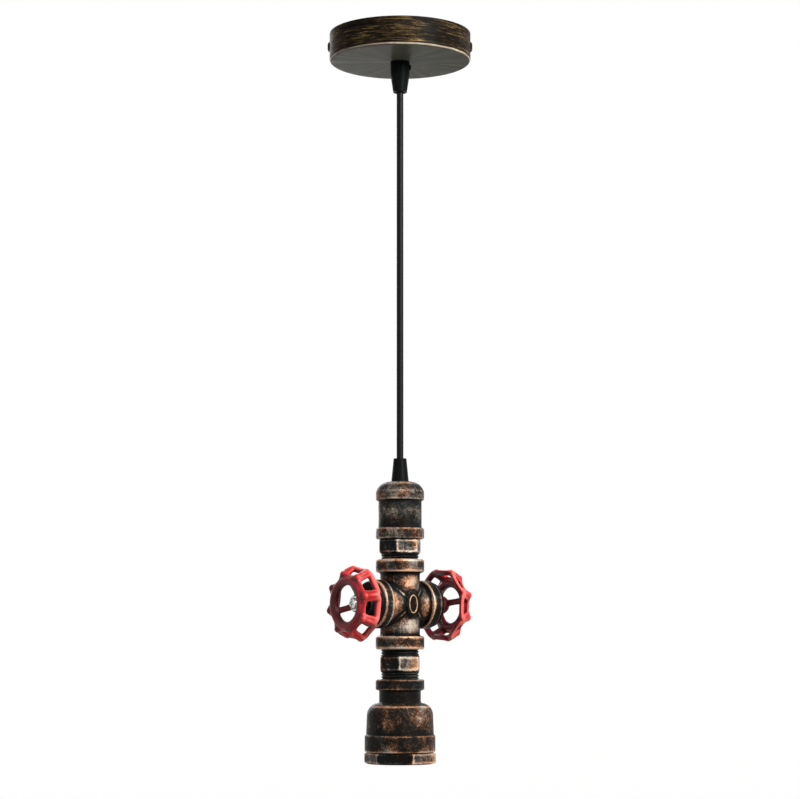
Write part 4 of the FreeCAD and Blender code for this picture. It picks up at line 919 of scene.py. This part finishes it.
def make_hand_wheels():
    """Two cast hand wheels: eight windows between corner bars with knobs, a front ring, three spokes.

    Shade is painted into the paint's colour: how proud a point stands goes down on the hub, the
    spokes and the castings' ends and inner sides, and as it faces the stem or along it, so these turn
    a dark maroon. A pale pinkish highlight is painted on the outer sides, most of all round the back.
    """
    for side in ("left", "right"):
        parts = [ring("front_ring", 15.4, 3.1, 45.2),
                 turned("hub", [(3.1, 33.5, 0.2), (6.2, 33.5, 0.8), (6.2, 39.0, 1.0),
                                (3.1, 39.0, 0.2)], columns=64)]
        reach = 20.3
        for number in range(8):
            angle = math.radians(45.0 * (number + 0.5))
            parts.append(ball("knob", (reach * math.cos(angle), reach * math.sin(angle), 45.1), 2.7))
            parts.append(bar("corner_bar", angle, (24.7, 36.4), (18.6, 46.0), 0.95, 4.3, 2.3))
            parts.append(window_frame("window_frame", number))
        for number in range(3):
            angle = math.radians(120.0 * number)
            parts.append(bar("spoke", angle, (4.5, 36.9), (15.7, 45.6), 1.25, 2.6, 1.7))
        mesh = cast(f"{side}_wheel", parts, voxel=0.42, rounds=10)
        place = vectors(mesh, "co") / MM
        normal = vectors(mesh, "normal")
        radius = np.linalg.norm(place[:, :2], axis=1)
        outward = (place[:, :2] * normal[:, :2]).sum(axis=1) / radius
        hub_end, rim_start, back_rail = 13.5, 16.5, 36.5
        rim = np.clip((radius - hub_end) / (rim_start - hub_end), 0, 1)
        # Painted shade: high where a point faces the stem or along the stem, and on the hub and spokes.
        away = np.maximum(np.clip(-outward, 0, 1) + 0.8 * np.abs(normal[:, 2]), 0.9 - rim)
        back = np.exp(-((place[:, 2] - back_rail) / 3.0) ** 2)
        # Painted highlight: pale on the outer sides, most of all round the back rail.
        painted_highlight = rim * np.clip(outward, 0, 1) * (0.2 + 1.0 * back)
        # The low proudness in the creases is painted shade too; the sum feeds the red paint's colour.
        change_proud(mesh, lambda proud: 0.35 * np.clip(proud, -0.25, 1) - 0.65 * away + painted_highlight)
        mesh.transform(wheel_frame(side))
        add_piece(f"{side}_wheel", mesh, f"{side}_wheel", "red_paint", FINISHES["red_paint"],
                  f"{side}_hand_wheel")


def make_wheel_screws():
    """The screws that hold the wheels: pan heads with a cross recess."""
    end, seat, top = 31.7, 39.7, 42.0
    for side in ("left", "right"):
        mesh = turned(f"{side}_pan_head", [
            (0.0, end, 0.05), (1.8, end, 0.1), (1.8, seat, 0.1), (3.8, seat, 0.2),
            (3.8, 41.2, 0.9), (2.6, top, 1.0), (0.0, top, 0.05)], spacing=0.12, columns=96,
            shapes=(cross_recess(depth=1.3, width=0.55, reach=2.3, top=top),))
        mesh.transform(wheel_frame(side))
        add_piece(f"{side}_pan_head", mesh, f"{side}_wheel", "bright_steel",
                  FINISHES["bright_steel"], f"{side}_wheel_screw")


def oval_pad(name, side):
    """An oval pad on the cross's body: the superellipse x = 5 cos a, z = 8 sin a, powers 0.9.

    Its section bulges from the body to a flat face, and it is closed at its middle line.
    """
    angle = circle(72)[None, :]
    out = np.array([0.0, 1.12, 1.12, 1.08, 0.96, 0.6, 0.0])[:, None]
    stand = np.array([11.0, 11.0, 13.6, 14.5, PAD_FACE, PAD_FACE, PAD_FACE])[:, None]
    points = np.stack([5.0 * out * signed_power(np.cos(angle), 0.9), side * stand + 0 * angle,
                       8.0 * out * signed_power(np.sin(angle), 0.9) + CROSS_HEIGHT], axis=-1)
    return clean(grid_mesh(name, points, around_rows=False))


def make_cross():
    """The cast cross, with a raised line along each crease and a rim round each oval pad.

    The creases of two equal pipes that meet squarely are the ellipses x = R sin a, z = +-R sin a,
    y = -R cos a. The necks are wiped, the side branches turn darker towards their ends, the right one
    more, and the pads are dark but for their rims.
    """
    parts = [node_shape("cross_fitting"), oval_pad("pad", -1.0), oval_pad("pad", 1.0)]
    angle = np.linspace(0, 2 * math.pi, 181)
    pipe = 13.75
    for slant in (1.0, -1.0):
        line = np.stack([pipe * np.sin(angle), -pipe * np.cos(angle),
                         slant * pipe * np.sin(angle) + CROSS_HEIGHT], axis=1)
        parts.append(tube("crease", line * MM, 0.9 * MM, 10))
    mesh = cast("cast_cross", parts, voxel=0.48, rounds=3)
    place = vectors(mesh, "co") / MM
    place[:, 2] -= CROSS_HEIGHT
    on_pad = (np.abs(place[:, 1]) > 14.2) & (np.hypot(place[:, 0] / 5.6, place[:, 2] / 9) < 1)
    along = [np.abs(place[:, 0]), np.abs(place[:, 2])]
    wiped = sum(np.exp(-((way - 15.5) / 5.5) ** 2 - (other / 9.0) ** 2)
                for way, other in (along, along[::-1]))
    # Darker towards the ends of the side branches, more on the right than on the left.
    branch_end_darkening = np.interp(place[:, 0], [-19.0, -17.0, 17.0, 19.0], [0.4, 0.0, 0.0, 1.0])
    change_proud(mesh, lambda proud: np.where(on_pad, -0.55, proud - 0.22 + 1.0 * wiped - branch_end_darkening))
    add_piece("cast_cross", mesh, "lamp", "aged_bronze", FINISHES["aged_bronze"], "cross_fitting")
    for side, name in ((-1.0, "front"), (1.0, "back")):
        rim = np.stack([3.3 * np.sin(angle), np.full_like(angle, side * PAD_FACE),
                        6.0 * np.cos(angle) + CROSS_HEIGHT], axis=1)
        mesh = tube(f"{name}_pad_rim", rim * MM, 0.42 * MM, 12)
        set_proud(mesh, np.full(len(mesh.vertices), 0.9))
        add_piece(f"{name}_pad_rim", mesh, "lamp", "aged_bronze", FINISHES["aged_bronze"])


def make_screw_shell():
    """The lampholder's screw shell, a thin sheet rolled to the thread of a lamp's cap."""
    low, high = -508.0, -489.5
    pitch, depth = 3.63, 0.45

    def rolled(radius, height, angle):
        """Wave the wall in and out, one wave to each pitch of the helix."""
        fade = np.clip(np.minimum(height - low - 0.6, high - 1.8 - height) / 1.5, 0, 1)
        wave = (1 - np.cos(2 * math.pi * (height / pitch - angle / (2 * math.pi)))) / 2
        return radius - depth * wave * fade * (radius > 13.0), height, 0.0 * wave

    mesh = turned("rolled_shell", [
        (13.3, low, 0.1), (13.8, low, 0.1), (13.8, high, 1.5), (10.0, high, 0.1),
        (10.0, high - 0.5, 0.1), (13.3, high - 0.5, 1.0)], spacing=0.35, columns=144, shapes=(rolled,))
    add_piece("rolled_shell", mesh, "lamp", "nickel_shell", FINISHES["nickel_shell"],
              "lamp_screw_shell")


def white_where_seen(tree, unseen, seen):
    """Feed a strength: one value for rays that show the surface, another for its light on others.

    The rays that show it come from the camera, off a gloss or through something clear.
    """
    path = tree.nodes.new("ShaderNodeLightPath")
    shows = path.outputs["Is Camera Ray"]
    for ray in ("Is Glossy Ray", "Is Transmission Ray"):
        larger = tree.nodes.new("ShaderNodeMath")
        larger.operation = "MAXIMUM"
        tree.links.new(shows, larger.inputs[0])
        tree.links.new(path.outputs[ray], larger.inputs[1])
        shows = larger.outputs[0]
    strength = tree.nodes.new("ShaderNodeMapRange")
    strength.inputs["To Min"].default_value = unseen
    strength.inputs["To Max"].default_value = seen
    tree.links.new(shows, strength.inputs["Value"])
    return strength.outputs["Result"]


def make_light():
    """Soft studio light from the right of the camera, two fills and a white surround."""
    scene = bpy.context.scene
    body = Vector((0, 0, -0.36))
    scene.view_settings.view_transform = "Standard"
    for name, place, size, power in (
            ("key_light", (0.10, -1.16, 0.22), 0.40, 23.0),
            ("left_light", (-1.40, -0.30, -0.10), 0.8, 1.1),
            ("back_light", (0.6, 1.5, 0.1), 1.0, 10.0)):
        data = bpy.data.lights.new(name, "AREA")
        data.shape = "SQUARE"
        data.size = size
        data.energy = power
        light = bpy.data.objects.new(name, data)
        light.location = place
        light.rotation_mode = "QUATERNION"
        light.rotation_quaternion = (body - light.location).to_track_quat("-Z", "Y")
        scene.collection.objects.link(light)
    world = bpy.data.worlds.new("studio")
    scene.world = world
    world.use_nodes = True
    tree = world.node_tree
    backdrop = tree.nodes["Background"]
    backdrop.inputs["Color"].default_value = (1.0, 1.0, 1.0, 1.0)
    tree.links.new(white_where_seen(tree, 0.14, 1.0), backdrop.inputs["Strength"])


def make_floor():
    """A plain pale floor well below the hanging lamp, white to the eye but for the lamp's shadow."""
    half = 30.0
    level = -2.2
    corners = [(x * half, y * half, level) for x, y in ((-1, -1), (1, -1), (1, 1), (-1, 1))]
    mesh = bpy.data.meshes.new("floor")
    mesh.from_pydata(corners, [], [(0, 1, 2, 3)])
    floor = bpy.data.objects.new("floor", mesh)
    bpy.context.scene.collection.objects.link(floor)
    material = bpy.data.materials.new("floor")
    material.use_nodes = True
    tree = material.node_tree
    shader = tree.nodes["Principled BSDF"]
    shader.inputs["Base Color"].default_value = (0.50, 0.50, 0.49, 1.0)
    shader.inputs["Roughness"].default_value = 0.9
    shader.inputs["Emission Color"].default_value = (1.0, 1.0, 1.0, 1.0)
    tree.links.new(white_where_seen(tree, 0.0, 0.85), shader.inputs["Emission Strength"])
    mesh.materials.append(material)


make_light()
make_floor()
dress_cad_nodes()
make_cord()
make_coupling()
make_nipple("upper_nipple", "upper_hex_nipple", -368.0, 10.0, 43.0, 12.2, 13.0)
make_cross()
make_side_plugs()
make_hand_wheels()
make_wheel_screws()
make_nipple("lower_nipple", "lower_hex_nipple", -449.0, 10.5, 50.0, 13.5, 14.5)
make_bell()
make_mouth_bushing()
make_screw_shell()
